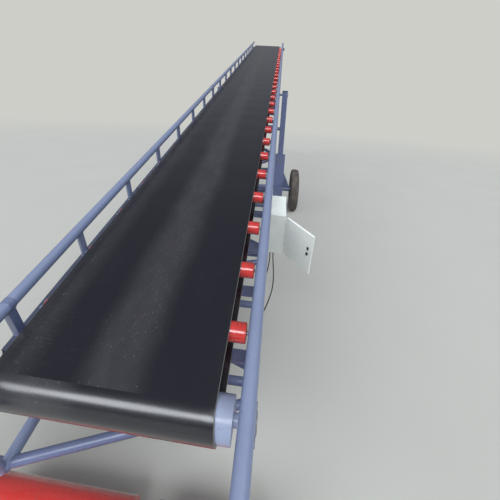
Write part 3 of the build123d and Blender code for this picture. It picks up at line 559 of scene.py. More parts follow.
class Signal:
    """A number that varies over a surface, with arithmetic that adds Math nodes."""

    def __init__(self, board: "Board", socket: bpy.types.NodeSocket) -> None:
        """Wraps an output socket of a board's tree."""
        self.board = board
        self.socket = socket

    def _math(self, operation: str, *values: Any, clamp: bool = False) -> "Signal":
        """Adds a Math node that takes the values in order.

        Args:
            operation: the node's operation.
            values: its inputs in order.
            clamp: whether the result is kept between nought and one.

        Returns:
            The result.
        """
        settings = {"operation": operation, "use_clamp": clamp}
        node = self.board.add("ShaderNodeMath", settings, dict(enumerate(values)))
        return Signal(self.board, node.outputs[0])

    def __add__(self, other: Any) -> "Signal":
        """Sum."""
        return self._math("ADD", self, other)

    __radd__ = __add__

    def __sub__(self, other: Any) -> "Signal":
        """Difference."""
        return self._math("SUBTRACT", self, other)

    def __rsub__(self, other: Any) -> "Signal":
        """Difference from a number."""
        return self._math("SUBTRACT", other, self)

    def __mul__(self, other: Any) -> "Signal":
        """Product."""
        return self._math("MULTIPLY", self, other)

    __rmul__ = __mul__

    def __truediv__(self, other: Any) -> "Signal":
        """Quotient."""
        return self._math("DIVIDE", self, other)

    def __pow__(self, power: float) -> "Signal":
        """Power, of a signal that isn't negative."""
        return self._math("POWER", self, power)

    def __abs__(self) -> "Signal":
        """Distance from zero."""
        return self._math("ABSOLUTE", self)

    def most(self, other: Any) -> "Signal":
        """The larger of two."""
        return self._math("MAXIMUM", self, other)

    def clamped(self) -> "Signal":
        """The signal kept between nought and one."""
        return self._math("ADD", self, 0.0, clamp=True)

    def step(self, low: float, high: float) -> "Signal":
        """Smooth step from nought at low to one at high.

        Args:
            low: where it starts to rise.
            high: where it has risen.

        Returns:
            The step.
        """
        node = self.board.add(
            "ShaderNodeMapRange",
            {"interpolation_type": "SMOOTHSTEP"},
            {"Value": self, "From Min": low, "From Max": high, "To Min": 0.0, "To Max": 1.0},
        )
        return Signal(self.board, node.outputs["Result"])

    def band(self, middle: float, half: float, soft: float) -> "Signal":
        """One within half of the middle, nought past half plus soft."""
        return 1 - abs(self - middle).step(half, half + soft)


class Board:
    """The node tree of a finish or of the world."""

    def __init__(self, owner: bpy.types.Material | bpy.types.World) -> None:
        """Gives its owner an empty tree.

        Args:
            owner: a material or a world.
        """
        owner.use_nodes = True
        self.owner = owner
        self.tree = owner.node_tree
        self.tree.nodes.clear()

    def add(self, kind: str, settings: dict | None = None, values: dict | None = None) -> bpy.types.Node:
        """Adds a node.

        Args:
            kind: the node's type.
            settings: properties, which are set first.
            values: numbers, colours or links of its sockets, by name or number.

        Returns:
            The node.
        """
        node = self.tree.nodes.new(kind)
        for key, value in (settings or {}).items():
            setattr(node, key, value)
        for key, value in (values or {}).items():
            if isinstance(value, Signal):
                value = value.socket
            if isinstance(value, bpy.types.NodeSocket):
                self.tree.links.new(value, node.inputs[key])
            else:
                node.inputs[key].default_value = value
        return node

    def place(self) -> bpy.types.NodeSocket:
        """Position in the object's own frame, which is the frame of the construction."""
        return self.add("ShaderNodeTexCoord").outputs["Object"]

    def surface_place(self) -> bpy.types.NodeSocket:
        """Position along and across the surface, from the piece's own map."""
        return self.add("ShaderNodeUVMap", {"uv_map": "surface"}).outputs["UV"]

    def part(self, vector: Any, way: Sequence[float], start: float = 0.0) -> Signal:
        """Length of a vector along a direction, less a start.

        Args:
            vector: the vector.
            way: the direction, of length one.
            start: what is taken off.

        Returns:
            The length.
        """
        node = self.add("ShaderNodeVectorMath", {"operation": "DOT_PRODUCT"}, {0: vector, 1: tuple(way)})
        signal = Signal(self, node.outputs["Value"])
        return signal - start if start else signal

    def facing(self, way: Sequence[float]) -> Signal:
        """How far the surface faces a direction, from -1 to 1."""
        return self.part(self.add("ShaderNodeNewGeometry").outputs["Normal"], way)

    def stretched(self, vector: Any, scale: Sequence[float]) -> bpy.types.NodeSocket:
        """A vector with its parts scaled."""
        node = self.add("ShaderNodeVectorMath", {"operation": "MULTIPLY"}, {0: vector, 1: tuple(scale)})
        return node.outputs["Vector"]

    def noise(self, vector: Any, scale: float, detail: float = 3.0, rough: float = 0.55,
              bend: float = 0.0) -> Signal:
        """Cloudy noise from nought to one.

        Args:
            vector: place in the cloud.
            scale: clouds in a metre.
            detail: number of finer layers.
            rough: strength of the finer layers.
            bend: how far the clouds are bent.

        Returns:
            The noise.
        """
        node = self.add(
            "ShaderNodeTexNoise",
            {"normalize": True},
            {"Vector": vector, "Scale": scale, "Detail": detail, "Roughness": rough, "Distortion": bend},
        )
        return Signal(self, node.outputs["Fac"])

    def cells(self, vector: Any, scale: float) -> Signal:
        """Distance to the nearest of many scattered points."""
        node = self.add("ShaderNodeTexVoronoi", {"feature": "F1"}, {"Vector": vector, "Scale": scale})
        return Signal(self, node.outputs["Distance"])

    def mix(self, first: Any, second: Any, share: Any) -> bpy.types.NodeSocket:
        """A colour between two."""
        node = self.add("ShaderNodeMix", {"data_type": "RGBA"}, {0: share, 6: first, 7: second})
        return node.outputs[2]

    def bump(self, height: Signal, distance: float, strength: float) -> bpy.types.NodeSocket:
        """A normal that follows a height."""
        values = {"Height": height, "Distance": distance, "Strength": strength}
        return self.add("ShaderNodeBump", None, values).outputs["Normal"]

    def blend(self, share: Signal, first: bpy.types.Node, second: bpy.types.Node, output: str) -> Any:
        """Mixes two shaders into the output.

        Args:
            share: the second shader's share.
            first: the shader that is all there is at a share of nought.
            second: the other shader.
            output: the output node's type.

        Returns:
            The tree's owner.
        """
        mixed = self.add("ShaderNodeMixShader", None, {0: share, 1: first.outputs[0], 2: second.outputs[0]})
        self.add(output, None, {"Surface": mixed.outputs[0]})
        return self.owner

    def close(self, **sockets: Any) -> bpy.types.Material:
        """Adds the surface shader and the output.

        Args:
            sockets: the shader's sockets, with underscores for spaces.

        Returns:
            The finished material.
        """
        values = {key.replace("_", " "): value for key, value in sockets.items()}
        shader = self.add("ShaderNodeBsdfPrincipled", None, values)
        self.add("ShaderNodeOutputMaterial", None, {"Surface": shader.outputs["BSDF"]})
        return self.owner


@dataclass(frozen=True)
class Finish:
    """A finish: its name and the material slot of the record that it stands for."""

    name: str
    slot: str | None = None

    def material(self) -> bpy.types.Material:
        """The finish's material, made once and named apart from the construction's plain materials."""
        title = f"{self.name}_finish"
        return bpy.data.materials.get(title) or self.build(Board(bpy.data.materials.new(title)))

    def build(self, board: Board) -> bpy.types.Material:
        """Fills the tree of the finish."""
        raise NotImplementedError

    def dress(self, *nodes: str) -> None:
        """Gives the finish to nodes of the construction.

        Args:
            nodes: names of the nodes.
        """
        for node in (frame["nodes"][name] for name in nodes):
            node.data.materials.clear()
            node.data.materials.append(self.material())


# Dark blue of the band on the stringers under the belt's edge: grime together with painted shade of the belt.
GRIME_AND_SHADE = linear(46, 50, 66)


@dataclass(frozen=True)
class MachinePaint(Finish):
    """Brushed gloss paint on welded steel, with dust on what faces up and small chips."""

    colour: tuple = linear(108, 120, 154)
    dust: tuple = linear(150, 152, 156)
    chip: tuple = linear(88, 84, 84)
    dust_share: float = 0.22
    chip_level: float = 0.70
    roughness: float = 0.33
    gloss: float = 0.55
    grime_and_shade_levels: tuple | None = None

    def build(self, board: Board) -> bpy.types.Material:
        """Paint with cloudy shade, runs, dust and chips, and a band of grime and painted shade between two
        levels if given.

        Args:
            board: the material's empty tree.

        Returns:
            The material.
        """
        place = board.place()
        cloud = board.noise(place, 3.1, 4)
        grime = board.noise(place, 17.0, 5, 0.62)
        streak = board.noise(board.stretched(place, (60.0, 60.0, 9.0)), 1.0, 3)
        speck = board.noise(place, 95.0, 2, 0.5)
        dusty = board.facing((0.0, -0.15, 0.99)).step(0.35, 0.95) * (0.35 + grime * 0.9) * self.dust_share
        chips = speck.step(self.chip_level, self.chip_level + 0.025) * grime.step(0.45, 0.6)
        shade = (cloud - 0.5) * 0.5 + (streak - 0.5) * 0.22
        paint = board.mix(shaded(self.colour, 0.72), shaded(self.colour, 1.25), (0.5 + shade).clamped())
        paint = board.mix(paint, self.dust, dusty.clamped())
        # Between the two levels a dark blue band is painted over the paint: grime together with painted shade
        # under the belt's edge.
        if self.grime_and_shade_levels:
            low, high = self.grime_and_shade_levels
            start = float(BOOM.at(0.0, 0.0, 0.0) @ BOOM.normal)
            level = board.part(place, BOOM.normal, start)
            grime_and_shade_band = level.step(low - 0.004, low) * (1 - level.step(high, high + 0.004)) * (0.55 + grime * 0.5)
            paint = board.mix(paint, GRIME_AND_SHADE, grime_and_shade_band.clamped())
        paint = board.mix(paint, self.chip, chips)
        rough = (self.roughness + dusty * 0.5 + grime * 0.12 + chips * 0.3).clamped()
        lumps = board.noise(place, 210.0, 2, 0.5) + streak * 1.6 - chips * 1.2
        return board.close(
            Base_Color=paint,
            Roughness=rough,
            Coat_Weight=(self.gloss - dusty * 0.8 - chips).clamped(),
            Coat_Roughness=0.12,
            Normal=board.bump(lumps, 0.0004, 0.35),
        )


@dataclass(frozen=True)
class RollerEnamel(Finish):
    """Glossy red enamel on a turned shell, rubbed in rings."""

    colour: tuple = linear(206, 56, 50)
    worn: tuple = linear(160, 62, 58)
    dust: tuple = linear(190, 120, 112)
    dust_share: float = 0.06

    def build(self, board: Board) -> bpy.types.Material:
        """Enamel with rubbed rings, dust and faint scratches.

        Args:
            board: the material's empty tree.

        Returns:
            The material.
        """
        place = board.place()
        rings = board.noise(board.stretched(place, (240.0, 2.0, 2.0)), 1.0, 4, 0.7)
        cloud = board.noise(place, 14.0, 4, 0.6)
        fine = board.noise(place, 120.0, 3, 0.6)
        rub = (rings * 0.6 + cloud * 0.6).step(0.62, 0.86)
        dusty = board.facing((0.0, 0.0, 1.0)).step(0.2, 1.0) * cloud * self.dust_share
        paint = board.mix(self.colour, self.worn, rub * 0.55)
        paint = board.mix(paint, self.dust, (dusty + (fine - 0.5).most(0.0) * 0.2).clamped())
        return board.close(
            Base_Color=paint,
            Roughness=(0.26 + rub * 0.22 + dusty * 0.5).clamped(),
            Coat_Weight=(1.0 - rub * 0.4).clamped(),
            Coat_Roughness=0.10,
            Normal=board.bump(rings + fine * 0.4, 0.0002, 0.3),
        )


@dataclass(frozen=True)
class BeltRubber(Finish):
    """Smooth black conveyor rubber, dusty in two long rub marks, with fine speckle and scratches."""

    colour: tuple = linear(15, 15, 25)
    dust: tuple = linear(124, 121, 122)
    edge: tuple = linear(128, 124, 118)
    rub_middle: float = 0.01
    rub_half: float = 0.035
    rub_slant: float = -0.012
    side_rub: float = -0.405
    side_rub_half: float = 0.035

    def build(self, board: Board) -> bpy.types.Material:
        """Rubber that reads its dust from the place across and along the belt.

        Args:
            board: the material's empty tree.

        Returns:
            The material.
        """
        flat = board.surface_place()
        across = board.part(flat, (1.0, 0.0, 0.0))
        uphill = board.part(flat, (0.0, 1.0, 0.0))
        drift = (board.noise(board.stretched(flat, (0.6, 1.1, 1.0)), 1.0, 2) - 0.5) * 0.16
        cloud = board.noise(board.stretched(flat, (1.0, 0.45, 1.0)), 9.0, 5, 0.62)
        fibre = board.noise(board.stretched(flat, (34.0, 3.2, 1.0)), 4.0, 4, 0.65)
        grain = board.noise(flat, 190.0, 3, 0.6)
        speck = board.cells(flat, 60.0)
        middle = (across - drift - uphill * self.rub_slant).band(self.rub_middle, self.rub_half, 0.12)
        side = (across - drift * 0.8).band(self.side_rub, self.side_rub_half, 0.12)
        marks = (middle * 0.8 + side * 0.62) * (0.25 + cloud * 1.1) * (0.55 + fibre * 0.85)
        haze = cloud.step(0.42, 0.8) * 0.02
        crumbs = (1 - speck.step(0.06, 0.16)) * (marks * 2.2 + 0.04) * cloud.step(0.35, 0.6)
        scratch_lines = board.noise(board.stretched(flat, (5.0, 120.0, 1.0)), 1.0, 2, 0.5, 1.2)
        scratches = scratch_lines.band(0.5, 0.004, 0.008) * board.noise(flat, 2.3, 2).step(0.48, 0.66) * 0.30
        dusty = (marks * (0.2 + grain * 0.6) + haze + crumbs * 1.3 + scratches).clamped()
        rim = abs(across + 0.0275).step(0.3965, 0.3992)
        paint = board.mix(self.colour, self.dust, dusty * 0.42)
        paint = board.mix(paint, self.edge, rim * 0.8)
        height = grain * 0.5 + fibre * 0.6 - crumbs * 0.6
        return board.close(
            Base_Color=paint,
            Roughness=(0.36 + dusty * 0.4 + cloud * 0.07).clamped(),
            Specular_IOR_Level=0.24,
            Coat_Weight=(1.0 - dusty * 0.5).clamped(),
            Coat_Roughness=0.22,
            Coat_IOR=1.6,
            Normal=board.bump(height, 0.0004, 0.5),
        )


@dataclass(frozen=True)
class TyreRubber(Finish):
    """Weathered tyre rubber with pale dust in its grooves and on the sidewall."""

    colour: tuple = linear(72, 67, 64)
    dust: tuple = linear(146, 137, 126)

    def build(self, board: Board) -> bpy.types.Material:
        """Rubber with dust by the height of the tread.

        Args:
            board: the material's empty tree.

        Returns:
            The material.
        """
        place = board.place()
        tread = Signal(board, board.add("ShaderNodeAttribute", {"attribute_name": "tread"}).outputs["Fac"])
        cloud = board.noise(place, 13.0, 5, 0.6)
        fine = board.noise(place, 160.0, 3, 0.6)
        dusty = ((1 - tread) * 0.45 + cloud.step(0.4, 0.75) * 0.4) * (0.5 + fine * 0.7)
        return board.close(
            Base_Color=board.mix(self.colour, self.dust, dusty.clamped()),
            Roughness=(0.62 + dusty * 0.3).clamped(),
            Normal=board.bump(fine, 0.0005, 0.5),
        )


@dataclass(frozen=True)
class BareSteel(Finish):
    """Turned or zinc-plated steel with fine rings and grey grime."""

    colour: tuple = linear(158, 158, 160)
    grime: tuple = linear(66, 58, 52)
    grime_share: float = 0.4

    def build(self, board: Board) -> bpy.types.Material:
        """Steel with turning marks across X and grime in patches.

        Args:
            board: the material's empty tree.

        Returns:
            The material.
        """
        place = board.place()
        turning = board.noise(board.stretched(place, (900.0, 12.0, 12.0)), 1.0, 2)
        patch = board.noise(place, 38.0, 4, 0.65).step(0.42, 0.72) * self.grime_share
        return board.close(
            Base_Color=board.mix(self.colour, self.grime, patch),
            Metallic=(1 - patch * 0.9).clamped(),
            Roughness=(0.3 + turning * 0.15 + patch * 0.5).clamped(),
            Normal=board.bump(turning, 0.0001, 0.3),
        )


@dataclass(frozen=True)
class PowderCoat(Finish):
    """Off-white powder coat on folded sheet, with faint cloudy dirt and runs."""

    colour: tuple = linear(236, 240, 234)
    dirt: tuple = linear(170, 165, 152)

    def build(self, board: Board) -> bpy.types.Material:
        """Fine orange peel with faint dirt.

        Args:
            board: the material's empty tree.

        Returns:
            The material.
        """
        place = board.place()
        cloud = board.noise(place, 9.0, 5, 0.6)
        runs = board.noise(board.stretched(place, (70.0, 70.0, 6.0)), 1.0, 3)
        peel = board.noise(place, 420.0, 2, 0.5)
        dirt = (cloud.step(0.5, 0.8) * 0.35 + runs.step(0.55, 0.8) * 0.25) * 0.7
        return board.close(
            Base_Color=board.mix(self.colour, self.dirt, dirt.clamped()),
            Roughness=(0.42 + dirt * 0.3).clamped(),
            Coat_Weight=(0.25 - dirt * 0.2).clamped(),
            Normal=board.bump(peel, 0.0002, 0.25),
        )


@dataclass(frozen=True)
class Moulding(Finish):
    """Moulded plastic or soft rubber in one colour, with a fine grain and a little dust."""

    colour: tuple = linear(26, 26, 28)
    roughness: float = 0.45

    def build(self, board: Board) -> bpy.types.Material:
        """Grain and dust over the colour.

        Args:
            board: the material's empty tree.

        Returns:
            The material.
        """
        place = board.place()
        grain = board.noise(place, 380.0, 3, 0.6)
        dusty = board.noise(place, 30.0, 4, 0.6).step(0.45, 0.8) * 0.22
        return board.close(
            Base_Color=board.mix(self.colour, shaded(self.colour, 0.6, 0.16), dusty),
            Roughness=(self.roughness + dusty * 0.8 + grain * 0.06).clamped(),
            Normal=board.bump(grain, 0.0002, 0.3),
        )


@dataclass(frozen=True)
class PlainFloor(Finish):
    """Plain pale floor that turns into the pale surround far from the machine."""

    colour: tuple = linear(198, 197, 189)
    cloud: tuple = linear(190, 189, 181)
    surround: tuple = linear(206, 206, 201)
    fade_start: float = 9.0
    fade_end: float = 30.0

    def build(self, board: Board) -> bpy.types.Material:
        """Nearly even colour near the machine; further out a camera ray sees the surround's own colour.

        Args:
            board: the material's empty tree.

        Returns:
            The material.
        """
        place = board.place()
        patches = board.noise(place, 0.7, 3)
        floor = board.add("ShaderNodeBsdfPrincipled", None, {
            "Base Color": board.mix(self.colour, self.cloud, patches), "Roughness": 0.8,
        })
        far = board.add("ShaderNodeEmission", None, {"Color": self.surround, "Strength": 1.0})
        length = board.add("ShaderNodeVectorMath", {"operation": "LENGTH"}, {0: place})
        seen = Signal(board, board.add("ShaderNodeLightPath").outputs["Is Camera Ray"])
        share = Signal(board, length.outputs["Value"]).step(self.fade_start, self.fade_end) * seen
        return board.blend(share, floor, far, "ShaderNodeOutputMaterial")


# Darker copy of the frame's one blue-grey paint: painted shade on the crossbars, bracing, hangers, uprights,
# rail fittings and carriage steel.
SHADED_FRAME_PAINT = MachinePaint("frame_paint", "frame_paint", colour=linear(96, 106, 142), dust_share=0.16)
# Lighter copy of the same blue-grey paint: painted light on the side frames, which also carry the band of
# grime and painted shade.
LIT_SIDE_PAINT = MachinePaint("side_paint", "frame_paint", colour=linear(118, 130, 163),
                          grime_and_shade_levels=(-0.140, -0.055))
DRUM_PAINT = MachinePaint("drum_paint", "drum_paint", dust_share=0.25, colour=linear(146, 157, 186))
RIM_PAINT = MachinePaint("rim_paint", "rim_paint", dust_share=0.6)
CAP_PAINT = MachinePaint("cap_paint", "cap_paint", colour=linear(32, 72, 82), dust_share=0.2)
CAST_PAINT = MachinePaint("cast_paint", "bearing_iron", colour=linear(96, 108, 134), roughness=0.5, gloss=0.3)
WELD_PAINT = MachinePaint("weld_paint", "frame_paint", colour=linear(112, 124, 150), chip_level=0.62)
ROLLER_RED = RollerEnamel("roller_red", "roller_red")
ROLLER_GRIMY = RollerEnamel("roller_grimy", "roller_red", colour=linear(74, 44, 44), worn=linear(52, 46, 46),
                            dust=linear(88, 80, 76), dust_share=0.7)
BELT_RUBBER = BeltRubber("belt_rubber", "belt_rubber")
TYRE_RUBBER = TyreRubber("tyre_rubber", "tyre_rubber")
SHAFT_STEEL = BareSteel("shaft_steel", "shaft_steel")
ZINC_STEEL = BareSteel("zinc_steel", "shaft_steel", colour=linear(168, 166, 160), grime_share=0.55)
CABINET_WHITE = PowderCoat("cabinet_paint", "cabinet_paint")
GLAND_BLACK = Moulding("gland_plastic", "gland_plastic")
SWITCH_GREY = Moulding("switch_grey", "gland_plastic", colour=linear(168, 170, 168))
LEAD_RUBBER = Moulding("lead_rubber", "lead_rubber", colour=linear(20, 20, 22), roughness=0.5)


# Sub-assemblies


@dataclass
class Belt:
    """The belt: one closed loop, flat across, with a slight sag between rollers and a soft edge wave."""

    width: float = 0.8
    thickness: float = 0.008
    drift: float = -0.0275
    return_drift: float = 0.012
    return_drift_run: float = 3.0
    tail_radius: float = 0.0733
    head_radius: float = 0.0908
    flat_start: float = 0.02
    sag: float = 0.0012
    edge_wave: float = 0.0010
    edge_wave_rates: tuple = (3.1, 7.3)
    edge_wave_power: int = 6
    edge_radius: float = 0.0030
    edge_points: int = 4
    flat_points: int = 19
    top_steps: int = 460
    head_steps: int = 40
    low_steps: int = 160
    tail_steps: int = 48

    def path(self) -> tuple[Array, Array, Array]:
        """The loop's outer line.

        The line runs up the top strand, half round the head drum, down the lower tangent and half round
        the tail drum. The outward angle is counted from straight above the belt towards uphill.

        Returns:
            Along, above and outward angle of its points.
        """
        tail, head = BOOM.tail_along, BOOM.head_along
        end_turn = pi + atan(2 * (self.head_radius - self.tail_radius) / (head - tail))
        top = np.linspace(tail, head, self.top_steps + 1)[:-1]
        head_turn = np.linspace(0, end_turn, self.head_steps + 1)[:-1]
        low = np.linspace(0, 1, self.low_steps + 1)[:-1]
        tail_turn = np.linspace(end_turn, 2 * pi, self.tail_steps + 1)[:-1]
        head_low = self._round(head, self.head_radius, end_turn)
        tail_low = self._round(tail, self.tail_radius, end_turn)
        parts = [
            np.column_stack([top, np.zeros_like(top), np.zeros_like(top)]),
            self._round(head, self.head_radius, head_turn),
            head_low + (tail_low - head_low) * low[:, None],
            self._round(tail, self.tail_radius, tail_turn),
        ]
        along, above, turn = np.concatenate(parts).T
        return along, above, turn

    @staticmethod
    def _round(along: float, radius: float, turn: Any) -> Array:
        """Points round a drum whose top is level with the belt: centre plus radius (sin t, cos t)."""
        turn = np.atleast_1d(np.asarray(turn, float))
        return np.column_stack([along + radius * np.sin(turn), -radius + radius * np.cos(turn), turn])

    def section(self) -> tuple[Array, Array]:
        """The belt's section, a flat strip with rounded edges, as a closed line.

        Returns:
            Across and depth of its points.
        """
        half, r = self.width / 2, self.edge_radius
        flat = np.linspace(-half + r, half - r, self.flat_points)
        turn = np.linspace(0, pi / 2, self.edge_points)[1:]
        right_top = np.column_stack([half - r + r * np.sin(turn), r - r * np.cos(turn)])
        right_low = np.column_stack([half - r + r * np.cos(turn), self.thickness - r + r * np.sin(turn)])
        outer = np.column_stack([flat, np.zeros_like(flat)])
        inner = np.column_stack([flat[::-1], np.full_like(flat, self.thickness)])
        left = np.concatenate([right_top, right_low[:-1]])[::-1] * (-1, 1)
        return tuple(np.concatenate([outer, right_top, right_low[:-1], inner, left]).T)

    def build(self) -> None:
        """Makes the loop and lets it stand for the belt's node.

        The section is carried along the path: a point lies its depth inside the outer line, less a sine
        squared of sag between two rollers and two sine waves at the edges. The lower strand drifts aside,
        and its drift starts with the head drum and is full some metres down.
        """
        along, above, turn = self.path()
        across, depth = self.section()
        top = (turn == 0) & (along > self.flat_start)
        phase = (along - BOOM.first_roller) / BOOM.roller_pitch
        carried = top & (phase > 0) & (phase < BOOM.roller_count - 1)
        dip = np.where(carried, self.sag * np.sin(pi * phase) ** 2, 0.0)
        rim = (np.abs(across) / (self.width / 2)) ** self.edge_wave_power
        slow, fast = self.edge_wave_rates
        swell = np.where(top, np.sin(along * slow) + np.sin(along * fast + 1), 0)[:, None]
        lift = -depth[None] - dip[:, None] - np.abs(self.edge_wave * rim[None] * swell)
        out_along, out_above = np.sin(turn)[:, None], np.cos(turn)[:, None]
        lower = np.clip(np.abs(turn - pi) / pi * -2 + 1.8, 0, 1)
        lower = lower * ramp(along, BOOM.head_along, -self.return_drift_run)
        aside = across[None] + self.drift + self.return_drift * lower[:, None]
        points = BOOM.at(aside, along[:, None] + lift * out_along, above[:, None] + lift * out_above)
        step = np.hypot(np.diff(along, append=along[:1]), np.diff(above, append=above[:1]))
        length = np.concatenate([[0], np.cumsum(step)])[:, None]
        place = np.append(across, across[0])[None] + self.drift
        uv = np.stack(np.broadcast_arrays(place, length), axis=-1)
        shell = Shell.grid(points, close_u=True, close_v=True, uv=uv).flipped()
        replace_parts(shell.piece("belt_loop", BELT_RUBBER, "boom", 50), "belt")


@dataclass
class RollerBed:
    """Carrying and return rollers: enamelled shells with a rolled rim, black seals and steel pins."""

    radius: float = 0.038
    face: float = 0.875
    level: float = -0.0463
    rim: float = 0.004
    recess: float = 0.003
    pin_radius: float = 0.007
    pin_half: float = 0.4562
    pin_chamfer: float = 0.0012
    return_radius: float = 0.030
    return_every: int = 8
    return_first: int = 3
    return_count: int = 4
    shell_around: int = 40
    seal_around: int = 28
    pin_around: int = 16
    strand_start: float = -0.1466
    strand_fall: float = 0.0350 / 9.578

    def shell_profile(self, radius: float) -> list[tuple[float, float]]:
        """A roller shell's profile: a recessed end, a rim rolled over a quarter circle, and the face.

        Args:
            radius: the roller's radius.

        Returns:
            Heights and radii from end to end.
        """
        half = self.face / 2
        turn = np.linspace(0, pi / 2, 5)
        rolled = sorted((-half + self.rim * (1 - sin(t)), radius - self.rim * (1 - cos(t))) for t in turn)
        left = [(-half + self.recess, self.pin_radius), (-half + self.recess, radius * 0.80),
                (-half, radius * 0.86), *rolled]
        return left + [(-h, r) for h, r in reversed(left)]

    def lay(self, shell: Shell, axes: Array) -> Shell:
        """Turns a lathed shell onto the X axis and repeats it at each axis point."""
        return shell.moved(np.zeros(3), Y_AXIS, Z_AXIS, X_AXIS).repeated(axes)

    def ends(self, radius: float) -> Shell:
        """Seal discs with a ridge, at both ends of a roller.

        Args:
            radius: the roller's radius.

        Returns:
            Both discs.
        """
        out = [(0, radius * 0.78), (0.0012, radius * 0.76), (0.0012, radius * 0.52), (0.0032, radius * 0.50),
               (0.0032, radius * 0.34), (0.0010, radius * 0.32), (0.0010, self.pin_radius)]
        start = self.face / 2 - self.recess
        right = [(start - 0.001, radius * 0.78)] + [(start + h, r) for h, r in out]
        left = [(-h, r) for h, r in reversed(right)]
        return Shell.joined([lathe(right, self.seal_around), lathe(left, self.seal_around)])

    def pin(self) -> Shell:
        """The pin with chamfered ends."""
        half, r, cut = self.pin_half, self.pin_radius, self.pin_chamfer
        return lathe([(-half, r - cut), (-half + cut, r), (half - cut, r), (half, r - cut)], self.pin_around)

    def axes(self) -> tuple[Array, Array]:
        """Places of the rollers.

        Returns:
            Axis points of the carrying rollers and of the return rollers.
        """
        along = BOOM.first_roller + BOOM.roller_pitch * np.arange(BOOM.roller_count)
        back = along[self.return_first :: self.return_every][: self.return_count] + BOOM.roller_pitch / 2
        level = self.strand_start - self.strand_fall * (back - BOOM.tail_along)
        level = level - self.return_radius - 2 * SEAT
        return BOOM.at(0.0, along, self.level), BOOM.at(0.0, back, level)

    def build(self) -> None:
        """Makes shells, seals and pins."""
        rows = (
            ("carry", self.radius, self.axes()[0], ROLLER_RED),
            ("return", self.return_radius, self.axes()[1], ROLLER_GRIMY),
        )
        for word, radius, axes, finish in rows:
            shells = self.lay(lathe(self.shell_profile(radius), self.shell_around), axes)
            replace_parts(shells.piece(f"{word}_roller_shells", finish, "boom", 30), f"{word}_rollers")
        seals = Shell.joined(self.lay(self.ends(radius), axes) for _, radius, axes, _ in rows)
        seals.piece("roller_seals", GLAND_BLACK, "boom")
        self.lay(self.pin(), np.concatenate(self.axes())).piece("roller_pins", SHAFT_STEEL, "boom")


